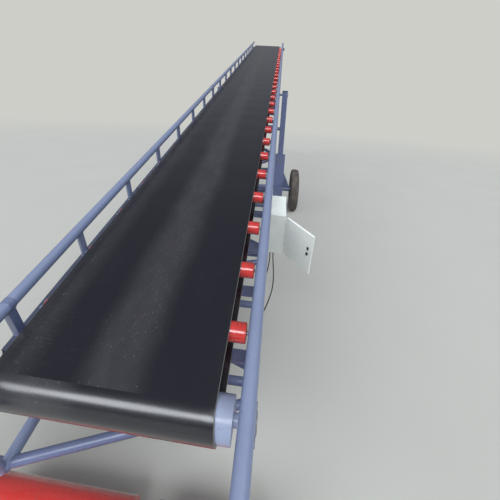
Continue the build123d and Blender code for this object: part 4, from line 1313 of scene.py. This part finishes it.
@dataclass
class SideFrames:
    """What is welded to the side frames: beads at each joint, uprights, rail sleeves and end caps."""

    rail_start: float = -0.340
    rail_end: float = 9.480
    stringer_top: float = -0.065
    stringer_bottom: float = -0.125
    post_radius: float = 0.017
    first_post: float = 0.550
    post_pitch: float = 0.5
    post_count: int = 18
    diagonal_radius: float = 0.010
    bead_size: float = 0.0030
    thin_bead_size: float = 0.0026
    bead_around: int = 28
    thin_bead_around: int = 20
    sleeve_places: tuple = (0.136, 3.511, 6.70)
    sleeve_length: float = 0.026
    sleeve_rise: float = 0.0018
    upright_along: float = 0.130
    upright_size: float = 0.036
    upright_sunk: float = 0.002

    def posts(self, side: Side) -> list[Shell]:
        """Beads of one side's posts at the rail, the stringer and the chord.

        Args:
            side: which side frame.

        Returns:
            One shell for each level, with the beads of all posts.
        """
        across, r, size = side.value * BOOM.gauge, self.post_radius, self.bead_size
        along = self.first_post + self.post_pitch * np.arange(self.post_count)
        shifts = BOOM.at(0, along, 0) - BOOM.at(0, 0, 0)
        beads = [
            saddle_bead(BOOM.at(across, 0, level), BOOM.normal * way, BOOM.uphill, r, BOOM.tube_radius, size)
            for level, way in ((BOOM.rail_level, -1), (BOOM.chord_level, 1))
        ]
        beads += [
            round_bead(BOOM.at(across, 0, level), X_AXIS, BOOM.uphill, r, size, self.bead_around)
            for level in (self.stringer_top, self.stringer_bottom)
        ]
        return [shell.repeated(shifts) for shell in beads]

    def diagonals(self, side: Side) -> list[Shell]:
        """Beads where the diagonals meet the chord.

        Args:
            side: which side frame.

        Returns:
            One shell for each diagonal.
        """
        across = side.value * BOOM.gauge
        middle = (self.stringer_top + self.stringer_bottom) / 2
        beads = []
        for i in range(self.post_count - 1):
            low, high = (0, 1) if i % 2 else (1, 0)
            along = self.first_post + self.post_pitch * i
            foot = BOOM.at(across, along + low * self.post_pitch, BOOM.chord_level)
            way = BOOM.at(across, along + high * self.post_pitch, middle) - foot
            beads.append(saddle_bead(
                foot, way, BOOM.uphill, self.diagonal_radius, BOOM.tube_radius, self.thin_bead_size,
                self.thin_bead_around,
            ))
        return beads

    def sleeves(self, side: Side) -> Shell:
        """Short sleeves round the rail where its lengths are joined, each with two rolled edges.

        Args:
            side: which rail.

        Returns:
            All sleeves of the rail.
        """
        r, rise, half = BOOM.tube_radius + 0.0002, self.sleeve_rise, self.sleeve_length / 2
        low = [(-half, r), (-half, r + rise * 0.5), (-half * 0.85, r + rise), (-half * 0.6, r + rise * 0.75)]
        profile = low + [(-h, radius) for h, radius in reversed(low)]
        ring = ring_lathe(profile, 36).moved(np.zeros(3), X_AXIS, BOOM.normal, BOOM.uphill)
        return ring.repeated(BOOM.at(side.value * BOOM.gauge, np.array(self.sleeve_places), BOOM.rail_level))

    def caps(self, side: Side) -> Shell:
        """Domed plates that close both ends of the rail.

        Args:
            side: which rail.

        Returns:
            Both plates.
        """
        r = BOOM.tube_radius - 0.001
        dome = lathe([(0, r), (0.002, r), (0.0045, r * 0.86), (0.006, r * 0.55), (0.0066, r * 0.2)], 32)
        ends = ((self.rail_start + 0.006, -1), (self.rail_end - 0.002, 1))
        return Shell.joined(
            dome.moved(BOOM.at(side.value * BOOM.gauge, along, BOOM.rail_level), X_AXIS * way, BOOM.normal,
                       BOOM.uphill * way)
            for along, way in ends
        )

    def uprights(self) -> Shell:
        """Short square uprights between rail and stringer, at the first roller.

        Returns:
            The uprights of both sides.
        """
        rail_bottom = BOOM.rail_level - BOOM.tube_radius
        block = rounded_block(self.upright_size, self.upright_size, rail_bottom - self.stringer_top, 0.003)
        middle = (rail_bottom + self.stringer_top) / 2 + self.upright_sunk
        return Shell.joined(
            block.on_boom(side.value * BOOM.gauge, self.upright_along, middle) for side in Side
        )

    def build(self) -> None:
        """Dresses the boom's steelwork and makes beads, uprights, sleeves and caps."""
        LIT_SIDE_PAINT.dress("side_frame_left", "side_frame_right")
        SHADED_FRAME_PAINT.dress(
            "deck_crossbars", "lower_crossbars", "lower_bracing", "roller_hanger_left", "roller_hanger_right"
        )
        self.uprights().piece("rail_uprights", SHADED_FRAME_PAINT, "boom")
        for side in Side:
            beads = Shell.joined([*self.posts(side), *self.diagonals(side)])
            beads.piece(f"weld_beads_{side.word}", WELD_PAINT, "boom", 70)
            fittings = [self.caps(side)]
            if side is Side.LEFT:
                fittings.append(self.sleeves(side))
            Shell.joined(fittings).piece(f"rail_fittings_{side.word}", SHADED_FRAME_PAINT, "boom", 40)


@dataclass
class DrumsAndBearings:
    """Drums and their bearing blocks: bolts, grease nipples, and the take-up screws' threads and nuts."""

    tail_level: float = -0.0733
    head_level: float = -0.0908
    block_inner: float = 0.4968
    block_width: float = 0.038
    plate_width: float = 0.008
    block_size: float = 0.090
    bolt_reach: float = 0.033
    screw_radius: float = 0.009
    screw_level: float = -0.084
    thread_start: float = -0.357
    thread_length: float = 0.060
    thread_pitch: float = 0.004
    thread_depth: float = 0.0008
    thread_around: int = 14
    end_plate_place: tuple = (-0.3432, -0.095)
    nut_along: float = -0.3462

    def block_trim(self, side: Side, along: float, level: float, width: float) -> Shell:
        """The trim of a bearing: a ring round the bore, and on a full block four bolts and a grease nipple.

        Args:
            side: which side of the boom.
            along: place of the bore.
            level: level of the bore.
            width: thickness of the block or plate.

        Returns:
            The trim as one shell.
        """
        face = side.value * (self.block_inner + width)
        ways = (BOOM.uphill, BOOM.normal * side.value, X_AXIS * side.value)
        ring = ring_lathe([(0, 0.0215), (0.002, 0.0215), (0.003, 0.024), (0.002, 0.030), (0, 0.031)], 32)
        shells = [ring.moved(BOOM.at(face, along, level), *ways)]
        if width < self.block_width:
            return shells[0]
        reach = self.bolt_reach
        corners = [(a, b) for a in (-reach, reach) for b in (-reach, reach)]
        shells += [bolt(0.013, 0.008).moved(BOOM.at(face, along + a, level + b), *ways) for a, b in corners]
        nipple = lathe([(0, 0.004), (0.004, 0.004), (0.004, 0.0028), (0.008, 0.0028), (0.010, 0.0036),
                        (0.013, 0.0022)], 12)
        shells.append(nipple.on_boom(face - side.value * width / 2, along, level + self.block_size / 2))
        return Shell.joined(shells)

    def screw(self, side: Side) -> Shell:
        """Thread ridges, end plate and nut of a take-up screw, at the open end of the stringer.

        The thread's radius at a place along the screw is that of the core plus a triangle wave of the
        place less the turn, so the ridges wind round it.

        Args:
            side: which side of the boom.

        Returns:
            The screw's end as one shell.
        """
        across = side.value * BOOM.gauge
        rows = np.arange(0, self.thread_length, self.thread_pitch / 4)[:, None]
        turn = full_turn(self.thread_around)
        phase = (rows / self.thread_pitch - turn[None] / (2 * pi)) % 1
        radius = self.screw_radius + 0.0001 + self.thread_depth * np.abs(2 * phase - 1)
        rings = np.stack(np.broadcast_arrays(radius * np.cos(turn), radius * np.sin(turn), rows), axis=-1)
        tip = BOOM.at(across, self.thread_start, self.screw_level)
        plate = rounded_block(0.046, 0.066, 0.006, 0.0025)
        outwards = (X_AXIS, BOOM.normal, -BOOM.uphill)
        return Shell.joined([
            Shell.rings(rings).moved(tip, X_AXIS, -BOOM.normal, BOOM.uphill),
            plate.moved(BOOM.at(across, *self.end_plate_place), *outwards),
            hexagon_nut(0.027, 0.008).moved(BOOM.at(across, self.nut_along, self.screw_level), *outwards),
        ])

    def build(self) -> None:
        """Dresses drums and blocks and adds the small parts."""
        DRUM_PAINT.dress("tail_drum", "head_drum")
        CAST_PAINT.dress("tail_take_up_left", "tail_take_up_right", "head_bearing_left", "head_bearing_right")
        for side in Side:
            tail = self.block_trim(side, BOOM.tail_along, self.tail_level, self.plate_width)
            head = self.block_trim(side, BOOM.head_along, self.head_level, self.block_width)
            Shell.joined([tail, head]).piece(f"bearing_trim_{side.word}", ZINC_STEEL, "boom")
            self.screw(side).piece(f"take_up_thread_{side.word}", ZINC_STEEL, "boom", 60)


@dataclass
class GroundRollers:
    """Ground rollers under the tail, with a washer on the shaft outside each hanger."""

    height: float = 0.1095
    hanger_outer: float = 0.612

    def build(self) -> None:
        """Dresses rollers and shaft and adds the washers."""
        ROLLER_RED.dress("ground_roller_left", "ground_roller_right")
        SHAFT_STEEL.dress("ground_shaft")
        washer = ring_lathe([(0, 0.0203), (0, 0.031), (0.0025, 0.031), (0.0030, 0.029), (0.0030, 0.0203)], 32)
        places = [
            BOOM.floor_point(side.value * self.hanger_outer, BOOM.ground_roller_forward, self.height)
            for side in Side
        ]
        washers = Shell.joined(washer.moved(place, *side.ways) for place, side in zip(places, Side))
        washers.piece("ground_shaft_collars", ZINC_STEEL, "boom")


@dataclass
class Wheel:
    """A farm wheel: a narrow ribbed tyre on a disc rim, with nuts, a hub cap and a valve."""

    side: Side
    half_track: float = 0.890
    tyre_radius: float = 0.3825
    rim_radius: float = 0.2033
    fine_steps: int = 600
    smooth_steps: int = 33
    outline_steps: int = 110
    turn_steps: int = 432
    inner_steps: int = 8
    groove_depth: float = 0.009
    groove_half: float = 0.0045
    groove_places: tuple = (-0.030, -0.0005, 0.029)
    zigzag: float = 0.0035
    zigzag_count: int = 54
    tread_radius: float = 0.355
    lug_count: int = 54
    notch_share: float = 0.75
    notch_inset: float = 0.0015
    shoulder_across: float = 0.047
    shoulder_radius: float = 0.345
    ring_height: float = 0.0009
    ring_rate: float = 260
    ring_middle: float = 0.297
    nut_count: int = 6
    nut_circle: float = 0.078
    nut_turn: float = 0.3
    disc_face: float = 0.008
    valve_place: tuple = (0.006, 0.10, 0.148)

    HALF_OUTLINE = ((0.0507, 0.2036), (0.0507, 0.222), (0.0600, 0.240), (0.0690, 0.262), (0.0725, 0.297),
                    (0.0710, 0.328), (0.0650, 0.355), (0.0560, 0.3715), (0.0470, 0.3770), (0.0300, 0.3805),
                    (0.0, 0.3822))

    @property
    def centre(self) -> Array:
        """Middle of the wheel."""
        return BOOM.floor_point(self.side.value * self.half_track, BOOM.mast_forward, self.tyre_radius)

    def outline(self) -> tuple[Array, Array]:
        """The tyre's outer line from bead to bead, evenly spaced and smoothed by a moving average.

        Returns:
            Across and radius of its points.
        """
        half, count, span = np.array(self.HALF_OUTLINE), self.fine_steps, self.smooth_steps
        line = np.concatenate([half * (-1, 1), half[-2::-1]])
        run = np.concatenate([[0], np.cumsum(np.hypot(*np.diff(line, axis=0).T))])
        fine = np.linspace(0, run[-1], count)
        spread = np.column_stack([np.interp(fine, run, line[:, k]) for k in (0, 1)])
        kernel = np.hanning(span) / np.hanning(span).sum()
        padded = np.pad(spread, ((span // 2, span // 2), (0, 0)), mode="edge")
        smooth = np.column_stack([np.convolve(padded[:, k], kernel, mode="valid") for k in (0, 1)])
        place = np.linspace(0, count - 1, self.outline_steps)
        return tuple(np.interp(place, np.arange(count), smooth[:, k]) for k in (0, 1))

    def cuts(self, across: Array, radius: Array, turn: Array) -> tuple[Array, Array]:
        """How deep the tread is cut, from nought to one.

        A groove is a mask of the distance to its middle, which swings with the angle like a triangle
        wave. A notch is a mask of the angle to the nearest lug gap, times a mask of the shoulder.

        Args:
            across: across of the outer line's points.
            radius: their radius.
            turn: angles round the axle.

        Returns:
            All cuts and the notches alone, angles by points.
        """
        swing = self.zigzag * (4 * np.abs((turn * self.zigzag_count / (2 * pi)) % 1 - 0.5) - 1)
        gap = np.abs(across - np.array(self.groove_places)[:, None, None] - swing[:, None])
        groove = np.clip(1.6 - gap / self.groove_half, 0, 1).max(axis=0)
        notch_turn = np.abs((turn * self.lug_count / (2 * pi) + 0.25) % 1 - 0.5)
        shoulder = ramp(np.abs(across), self.shoulder_across, 0.004)
        shoulder = shoulder * ramp(radius, self.shoulder_radius, 0.010)
        notch = np.clip(1.5 - notch_turn / 0.10, 0, 1)[:, None] * shoulder[None] * self.notch_share
        on_tread = ramp(radius, self.tread_radius, 0.010)[None]
        return np.maximum(groove * on_tread, notch), notch

    def tyre(self) -> bpy.types.Object:
        """The tyre: its outer line round the axle, less zigzag grooves and shoulder notches.

        The radius is that of the outer line less the groove depth times the cut. Fine rings stand out of
        the sidewall as a cosine of the radius. The bead's inner face closes the section.

        Returns:
            The tyre's object, whose attribute tread is nought where it is cut.
        """
        across, radius = self.outline()
        turn = full_turn(self.turn_steps)
        cut, notch = self.cuts(across, radius, turn)
        ring = self.ring_height * np.cos((radius - self.ring_middle) * self.ring_rate)
        ring = ring * ramp(radius, self.shoulder_radius, -0.020)
        outer_across = across[None] + np.sign(across)[None] * (ring[None] - self.notch_inset * notch)
        inner_across = np.linspace(across[-1], across[0], self.inner_steps + 2)[1:-1]
        inner = (self.turn_steps, self.inner_steps)
        outer_radius = radius - self.groove_depth * cut
        all_across = np.concatenate([outer_across, np.broadcast_to(inner_across, inner)], axis=1)
        all_radius = np.concatenate([outer_radius, np.full(inner, self.rim_radius)], axis=1)
        tread = np.concatenate([1 - cut, np.ones(inner)], axis=1)
        level, height = np.cos(turn)[:, None], np.sin(turn)[:, None]
        points = self.centre + np.stack([all_across, all_radius * level, all_radius * height], axis=-1)
        shell = Shell.grid(points, close_u=True, close_v=True).flipped()
        tyre = shell.piece(f"ribbed_tyre_{self.side.word}", TYRE_RUBBER, f"wheel_{self.side.word}", 45)
        layer = tyre.data.attributes.new("tread", "FLOAT", "POINT")
        layer.data.foreach_set("value", tread.astype(np.float32).ravel())
        return tyre

    def fittings(self) -> Shell:
        """Nuts, the hub cap and the valve, on the outer face of the disc.

        Returns:
            All of them as one shell.
        """
        out, centre = X_AXIS * self.side.value, self.centre
        nut = bolt(0.021, 0.014)
        cap = lathe([(0.058, 0.040), (0.064, 0.040), (0.066, 0.036), (0.078, 0.034), (0.083, 0.028),
                     (0.085, 0.014)], 36)
        valve = lathe([(-0.004, 0.005), (0.018, 0.004), (0.018, 0.0052), (0.030, 0.0052), (0.032, 0.003)], 14)
        stand, ahead, up = self.valve_place
        turns = full_turn(self.nut_count) + self.nut_turn
        circle = self.nut_circle * np.stack([np.zeros_like(turns), np.cos(turns), np.sin(turns)], axis=-1)
        places = [(nut, centre + out * self.disc_face + shift) for shift in circle]
        places += [(cap, centre), (valve, centre + out * stand + Y_AXIS * ahead + Z_AXIS * up)]
        return Shell.joined(shell.moved(place, *self.side.ways) for shell, place in places)

    def build(self) -> None:
        """Makes the tyre and the fittings."""
        RIM_PAINT.dress(f"rim_{self.side.word}")
        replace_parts(self.tyre(), f"tyre_{self.side.word}")
        self.fittings().piece(f"wheel_fittings_{self.side.word}", ZINC_STEEL, f"wheel_{self.side.word}")


@dataclass
class Carriage:
    """Housings, columns and struts: weld beads round the tie, lock bolts, gussets and pin ends."""

    half_gauge: float = 0.594
    housing_depth: float = 0.140
    lock_height: float = 0.93
    lock_half: float = 0.035
    pin_height: float = 2.120
    pin_washer: float = 0.6412
    split_pin: float = 0.0075
    tie_height: float = 0.975
    tie_radius: float = 0.030
    tie_end: float = 0.504
    bead_size: float = 0.004
    gusset_corners: tuple = ((0.682, 0.700), (0.682, 0.405), (0.798, 0.405), (0.798, 0.445))
    gusset_thickness: float = 0.012
    gusset_bevel: float = 0.001

    def tie_beads(self) -> Shell:
        """Bead rings where the tie meets the housings.

        Returns:
            Both rings.
        """
        ends = [
            BOOM.floor_point(side.value * self.tie_end, BOOM.mast_forward, self.tie_height) for side in Side
        ]
        return Shell.joined(
            round_bead(end, Y_AXIS, Z_AXIS, self.tie_radius, self.bead_size, 40) for end in ends
        )

    def lock_bolts(self) -> Shell:
        """Clamping bolts with their welded nuts on the downhill face of each housing.

        Returns:
            Two bolts a side.
        """
        face = BOOM.mast_forward - self.housing_depth / 2
        places = [
            BOOM.floor_point(side.value * self.half_gauge + shift, face, self.lock_height)
            for side in Side for shift in (-self.lock_half, self.lock_half)
        ]
        return Shell.joined(bolt(0.024, 0.016).moved(place, X_AXIS, Z_AXIS, -Y_AXIS) for place in places)

    def gussets(self) -> Shell:
        """A plate between each housing's outer face and its stub axle, in the axle's plane.

        Each face of the plate is the outline drawn in a little towards its middle, which leaves small
        chamfers.

        Returns:
            Both plates.
        """
        shells = []
        for side in Side:
            outline = np.stack([
                BOOM.floor_point(side.value * across, BOOM.mast_forward, height)
                for across, height in self.gusset_corners
            ])
            middle = outline.mean(axis=0)
            drawn_in = middle + (outline - middle) * 0.985
            half = Y_AXIS * self.gusset_thickness / 2
            edge = half - Y_AXIS * self.gusset_bevel
            rings = np.stack([drawn_in - half, outline - edge, outline + edge, drawn_in + half])
            shells.append(Shell.rings(rings if side is Side.LEFT else rings[::-1]))
        return Shell.joined(shells)

    def pin_ends(self) -> Shell:
        """A washer and a split pin on the outer end of each mast pin.

        Returns:
            The ends of both pins.
        """
        washer = ring_lathe([(0, 0.0203), (0, 0.033), (0.003, 0.033), (0.004, 0.031), (0.004, 0.0203)], 32)
        split = lathe([(-0.028, 0.0012), (-0.027, 0.0022), (0.027, 0.0022), (0.028, 0.0012)], 10)
        shells = []
        for side in Side:
            ahead, up, out = side.ways
            origin = BOOM.floor_point(side.value * self.pin_washer, BOOM.mast_forward, self.pin_height)
            shells.append(washer.moved(origin, ahead, up, out))
            shells.append(split.moved(origin + out * self.split_pin, out, ahead * side.value, Z_AXIS))
        return Shell.joined(shells)

    def build(self) -> None:
        """Dresses the steelwork and adds the small parts."""
        SHADED_FRAME_PAINT.dress(
            "mast_housing_left", "mast_housing_right", "axle_beam", "carriage_braces", "mast_column_left",
            "mast_column_right", "mast_tie", "strut_left", "strut_right",
        )
        CAP_PAINT.dress("mast_caps")
        self.tie_beads().piece("tie_beads", WELD_PAINT, "carriage", 70)
        self.lock_bolts().piece("housing_lock_bolts", ZINC_STEEL, "carriage")
        self.gussets().piece("axle_gussets", SHADED_FRAME_PAINT, "carriage", 30)
        self.pin_ends().piece("mast_pin_ends", ZINC_STEEL, "boom")


@dataclass(frozen=True)
class GearRow:
    """A row of equal devices on the mounting plate, each a block with a smaller block on its front.

    Sizes are out from the plate, along and above, reach is out from the plate, and level is counted from
    the middle of the door's opening.
    """

    count: int
    first: float
    pitch: float
    body: tuple[float, float, float]
    body_reach: float
    body_level: float
    body_edge: float
    front: tuple[float, float, float]
    front_reach: float
    front_level: float
    front_edge: float
    pale_body: bool


@dataclass
class Cabinet:
    """The control cabinet: gasket, mounting plate with switchgear, and the latch on its door."""

    start: float = 1.173
    length: float = 0.238
    top: float = -0.190
    depth: float = 0.108
    wall: float = 0.003
    door_height: float = 0.345
    door_drop: float = 0.005
    door_thickness: float = 0.014
    door_gap: float = 0.002
    hinge_back: float = 0.008
    door_open: float = 134.0
    latch_along: float = 0.212
    lock_rise: float = 0.048
    rib_places: tuple = (0.07, 0.16)
    rail_levels: tuple = (0.085, -0.02)

    GEAR = (
        GearRow(3, -0.06, 0.052, (0.058, 0.046, 0.078), 0.036, 0.085, 0.003,
                (0.010, 0.014, 0.024), 0.069, 0.090, 0.002, pale_body=True),
        GearRow(2, -0.045, 0.062, (0.066, 0.052, 0.070), 0.040, -0.02, 0.003,
                (0.008, 0.030, 0.020), 0.076, -0.015, 0.002, pale_body=False),
        GearRow(9, -0.080, 0.018, (0.026, 0.015, 0.030), 0.014, -0.125, 0.0015,
                (0.004, 0.007, 0.007), 0.028, -0.118, 0.001, pale_body=True),
    )

    @property
    def middle(self) -> tuple[float, float]:
        """Along and above of the middle of the door's opening."""
        return self.start + self.length / 2, self.top - self.door_drop - self.door_height / 2

    @staticmethod
    def block(size: tuple, across: float, along: float, above: float, radius: float) -> Shell:
        """A block with rounded edges: its sizes across, along and above, and the place of its middle."""
        return rounded_block(*size, radius).on_boom(across, along, above)

    def gasket(self) -> Shell:
        """A foam strip round the opening, on the front flange.

        Returns:
            Its four sides.
        """
        along, above = self.middle
        half_along, half_above = self.length / 2 - 0.009, self.door_height / 2 - 0.008
        front = BOOM.cabinet_inner + self.depth + 0.0008
        level_strip, upright_strip = (0.0016, 2 * half_along, 0.005), (0.0016, 0.005, 2 * half_above)
        strips = []
        for sign in (-1, 1):
            strips.append(self.block(level_strip, front, along, above + sign * half_above, 0.0007))
            strips.append(self.block(upright_strip, front, along + sign * half_along, above, 0.0007))
        return Shell.joined(strips)

    def switchgear(self) -> dict[str, Shell]:
        """Plate, rails, switches and terminals inside the cabinet.

        Returns:
            Shells of metal, dark and pale pieces, by the pieces' names.
        """
        along, above = self.middle
        plate = BOOM.cabinet_inner + self.wall + 0.0015
        back = plate + 0.001
        zinc = [self.block((0.002, self.length - 0.03, self.door_height - 0.03), plate, along, above, 0.0009)]
        rail = (0.007, self.length - 0.06, 0.035)
        zinc += [self.block(rail, back + 0.0036, along, above + level, 0.001) for level in self.rail_levels]
        dark, pale = [], []
        for row in self.GEAR:
            bodies, fronts = (pale, dark) if row.pale_body else (dark, pale)
            for k in range(row.count):
                place = along + row.first + k * row.pitch
                bodies.append(self.block(
                    row.body, back + row.body_reach, place, above + row.body_level, row.body_edge
                ))
                fronts.append(self.block(
                    row.front, back + row.front_reach, place, above + row.front_level, row.front_edge
                ))
        return {"switch_plate": Shell.joined(zinc), "switch_bodies": Shell.joined(dark),
                "switch_faces": Shell.joined(pale)}

    def door_trim(self) -> tuple[Shell, Shell]:
        """Latch with its lock above it, and the ribs on the door's inner face.

        The door's thickness and width directions are the boom's, swung about the hinge by the door's angle.

        Returns:
            The latch and the ribs.
        """
        across = BOOM.cabinet_inner + self.depth + self.door_gap + self.door_thickness / 2
        hinge = BOOM.at(across, self.start - self.hinge_back, self.top - self.door_drop - self.door_height)
        swing, high, half = radians(self.door_open), BOOM.normal, self.door_thickness / 2
        thick = X_AXIS * cos(swing) - BOOM.uphill * sin(swing)
        wide = X_AXIS * sin(swing) + BOOM.uphill * cos(swing)

        def on_door(shell: Shell, along: float, rise: float, out: float) -> Shell:
            """A shell on the door: along from the hinge, rise from mid height, out from the middle plane."""
            level = self.door_height / 2 + rise
            return shell.moved(hinge + wide * along + high * level + thick * out, wide, high, thick)

        plate = rounded_block(0.016, 0.024, 0.004, 0.0018)
        knob = lathe([(0, 0.007), (0.006, 0.007), (0.008, 0.006), (0.010, 0.003)], 20)
        barrel = lathe([(0, 0.008), (-0.008, 0.008), (-0.009, 0.006)], 18).flipped()
        tongue = rounded_block(0.028, 0.012, 0.003, 0.0012)
        rib = rounded_block(0.012, self.door_height - 0.10, 0.006, 0.002)
        latch = [
            on_door(plate, self.latch_along, 0.0, half + 0.0015),
            on_door(plate, self.latch_along, self.lock_rise, half + 0.0015),
            on_door(knob, self.latch_along, 0.0, half + 0.003),
            on_door(tongue, self.latch_along + 0.004, 0.0, -half - 0.006),
            on_door(barrel, self.latch_along, 0.0, -half),
        ]
        ribs = [on_door(rib, place, 0.0, -half - 0.002) for place in self.rib_places]
        return Shell.joined(latch), Shell.joined(ribs)

    def build(self) -> None:
        """Dresses the box and the door and adds what is in and on them."""
        CABINET_WHITE.dress("cabinet_box", "cabinet_door")
        GLAND_BLACK.dress("cable_glands")
        self.gasket().piece("cabinet_gasket", GLAND_BLACK, "boom")
        finishes = {"switch_plate": ZINC_STEEL, "switch_bodies": GLAND_BLACK, "switch_faces": SWITCH_GREY}
        for name, shell in self.switchgear().items():
            shell.piece(name, finishes[name], "boom")
        latch, ribs = self.door_trim()
        latch.piece("door_latch", GLAND_BLACK, "cabinet_door")
        ribs.piece("door_ribs", CABINET_WHITE, "cabinet_door")


@dataclass
class Leads:
    """The two rubber leads that hang from the cabinet and go into the right lower chord."""

    diameter: float = 0.008
    straight: float = 0.034
    gland_reaches: tuple = (0.014, 0.038)
    gland_along: float = 1.205
    gland_length: float = 0.026
    cabinet_bottom: float = -0.560
    loop_along: float = 1.100
    slant_along: float = 0.620
    slant_reach: float = 0.075
    slant_way: tuple = (0.25, 0.8, -0.55)
    supply_length: float = 0.352
    control_length: float = 0.645

    SUPPLY = ((0.518, 1.335, 0.625), (0.515, 1.333, 0.582), (0.509, 1.315, 0.547), (0.501, 1.283, 0.532),
              (0.494, 1.250, 0.542), (0.488, 1.230, 0.572), (0.482, 1.225, 0.608))
    CONTROL = ((0.545, 1.336, 0.624), (0.551, 1.320, 0.580), (0.556, 1.289, 0.543), (0.559, 1.244, 0.514),
               (0.556, 1.188, 0.497), (0.549, 1.126, 0.490), (0.539, 1.065, 0.492), (0.529, 1.004, 0.499),
               (0.519, 0.944, 0.510))

    def hang(self, word: str, reach: float, route: tuple, end: Array, end_way: Array, length: float) -> None:
        """Makes one lead, straight out of its gland, along its route and straight into the chord's gland.

        Args:
            word: the first word of the piece's name and of its node's.
            reach: how far its gland stands out from the cabinet's inner face.
            route: control points, across, forward and height.
            end: where it enters the chord's gland.
            end_way: direction out of that gland.
            length: its real length.
        """
        level = self.cabinet_bottom - SEAT - self.gland_length
        start = BOOM.at(BOOM.cabinet_inner + reach, self.gland_along, level)
        points = [start, start - BOOM.normal * self.straight]
        points += [BOOM.floor_point(*place) for place in route]
        points += [end + end_way * self.straight, end]
        name = f"{word}_cable"
        curve = bpy.data.curves.new(name, "CURVE")
        curve.dimensions = "3D"
        spline = curve.splines.new("NURBS")
        spline.points.add(len(points) - 1)
        for point, place in zip(spline.points, points):
            point.co = (*place, 1.0)
        spline.order_u = 3
        spline.use_endpoint_u = True
        curve.resolution_u = 12
        curve.bevel_depth = self.diameter / 2
        curve.bevel_resolution = 4
        curve.materials.append(LEAD_RUBBER.material())
        obj = placed(name, curve)
        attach(obj, "boom")
        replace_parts(obj, f"{word}_lead")
        log.info("%s: a lead of %.0f mm", name, length / MM)

    def build(self) -> None:
        """Makes both leads."""
        near, far = self.gland_reaches
        chord_bottom = BOOM.chord_level - BOOM.tube_radius - self.gland_length
        loop_end = BOOM.at(BOOM.gauge, self.loop_along, chord_bottom)
        self.hang("supply", near, self.SUPPLY, loop_end, -BOOM.normal, self.supply_length)
        slant = unit(np.array(self.slant_way) @ np.stack(BOOM.ways))
        slant_end = BOOM.at(BOOM.gauge, self.slant_along, BOOM.chord_level) + slant * self.slant_reach
        self.hang("control", far, self.CONTROL, slant_end, slant, self.control_length)


@dataclass
class Studio:
    """Pale floor, soft lamps and the camera where the photographer stood."""

    camera_place: tuple = (0.4985, -5.2143, 1.78)
    camera_ahead: tuple = (-0.0897, 0.9887, -0.1194)
    camera_right: tuple = (0.9927, 0.1003, 0.065)
    image_size: float = 500.0
    focal_pixels: float = 285.0
    middle_row: float = 146.0
    sensor: float = 36.0
    floor_half: float = 60.0
    floor_drop: float = 0.0005
    sky_colour: tuple = (0.88, 0.93, 1.0, 1.0)
    sky_strength: float = 0.22
    lamp_colour: tuple = (0.90, 0.94, 1.0)

    LAMPS = (
        ("door_light_right", (-0.04, 0.76, -0.64), 22.0, 1.1),
        ("door_light_middle", (0.32, 0.72, -0.58), 24.0, 1.1),
        ("door_light_left", (0.62, 0.62, -0.46), 24.0, 0.8),
        ("roof_light", (-0.50, 0.40, -0.75), 36.0, 1.6),
    )

    def camera(self) -> None:
        """The camera: lens and shift come from the focal length in pixels and the middle row's level."""
        data = bpy.data.cameras.new("camera")
        data.sensor_width = self.sensor
        data.lens = self.focal_pixels / self.image_size * self.sensor
        data.shift_y = (self.middle_row - self.image_size / 2) / self.image_size
        data.clip_start, data.clip_end = 0.05, 200.0
        ahead = unit(np.array(self.camera_ahead))
        right = unit(np.array(self.camera_right) - (np.array(self.camera_right) @ ahead) * ahead)
        up = np.cross(right, ahead)
        turn = Matrix([list(column) for column in zip(right, up, -ahead)]).to_4x4()
        obj = placed("camera", data)
        obj.matrix_world = Matrix.Translation(self.camera_place) @ turn
        bpy.context.scene.camera = obj

    def floor(self) -> None:
        """A wide flat floor a hair below the wheels."""
        side = np.linspace(-self.floor_half, self.floor_half, 13)
        x, y = np.meshgrid(side, side)
        shell = Shell.grid(np.stack([x, y, np.full_like(x, -self.floor_drop)], axis=-1)).flipped()
        mesh = bpy.data.meshes.new("floor")
        mesh.from_pydata(shell.points.tolist(), [], shell.quads.tolist())
        mesh.materials.append(PlainFloor("plain_floor").material())
        placed("floor", mesh)

    def disc_light(self, name: str, way: tuple, spread: float, strength: float) -> None:
        """Even light from a soft disc far away.

        Args:
            name: the lamp's name.
            way: the way that the light travels.
            spread: width of the disc in degrees.
            strength: the lamp's strength.
        """
        data = bpy.data.lights.new(name, "SUN")
        data.color = self.lamp_colour
        data.angle = radians(spread)
        data.energy = strength
        placed(name, data).rotation_euler = Vector(way).to_track_quat("-Z", "Y").to_euler()

    def sky(self) -> None:
        """An even dim sky, which a camera ray or a ray through glass sees as the pale surround."""
        board = Board(bpy.data.worlds.new("surround"))
        paths = board.add("ShaderNodeLightPath").outputs
        seen = Signal(board, paths["Is Camera Ray"]).most(Signal(board, paths["Is Transmission Ray"]))
        dim, bright = (
            board.add("ShaderNodeBackground", None, {"Color": colour, "Strength": strength})
            for colour, strength in ((self.sky_colour, self.sky_strength), (PlainFloor.surround, 1.0))
        )
        bpy.context.scene.world = board.blend(seen, dim, bright, "ShaderNodeOutputWorld")

    def build(self) -> None:
        """Makes the camera, the floor and the light."""
        self.camera()
        self.floor()
        self.sky()
        for lamp in self.LAMPS:
            self.disc_light(*lamp)
        bpy.context.scene.view_settings.view_transform = "Standard"


def main() -> None:
    """Builds the studio and every sub-assembly in order."""
    logging.basicConfig(level=logging.INFO, format="%(message)s")
    for part in (
        Studio(), Leads(), Belt(), RollerBed(), SideFrames(), DrumsAndBearings(), GroundRollers(),
        Wheel(Side.LEFT), Wheel(Side.RIGHT), Carriage(), Cabinet(),
    ):
        part.build()
        log.info("%s done", type(part).__name__)


if __name__ == "__main__":
    main()
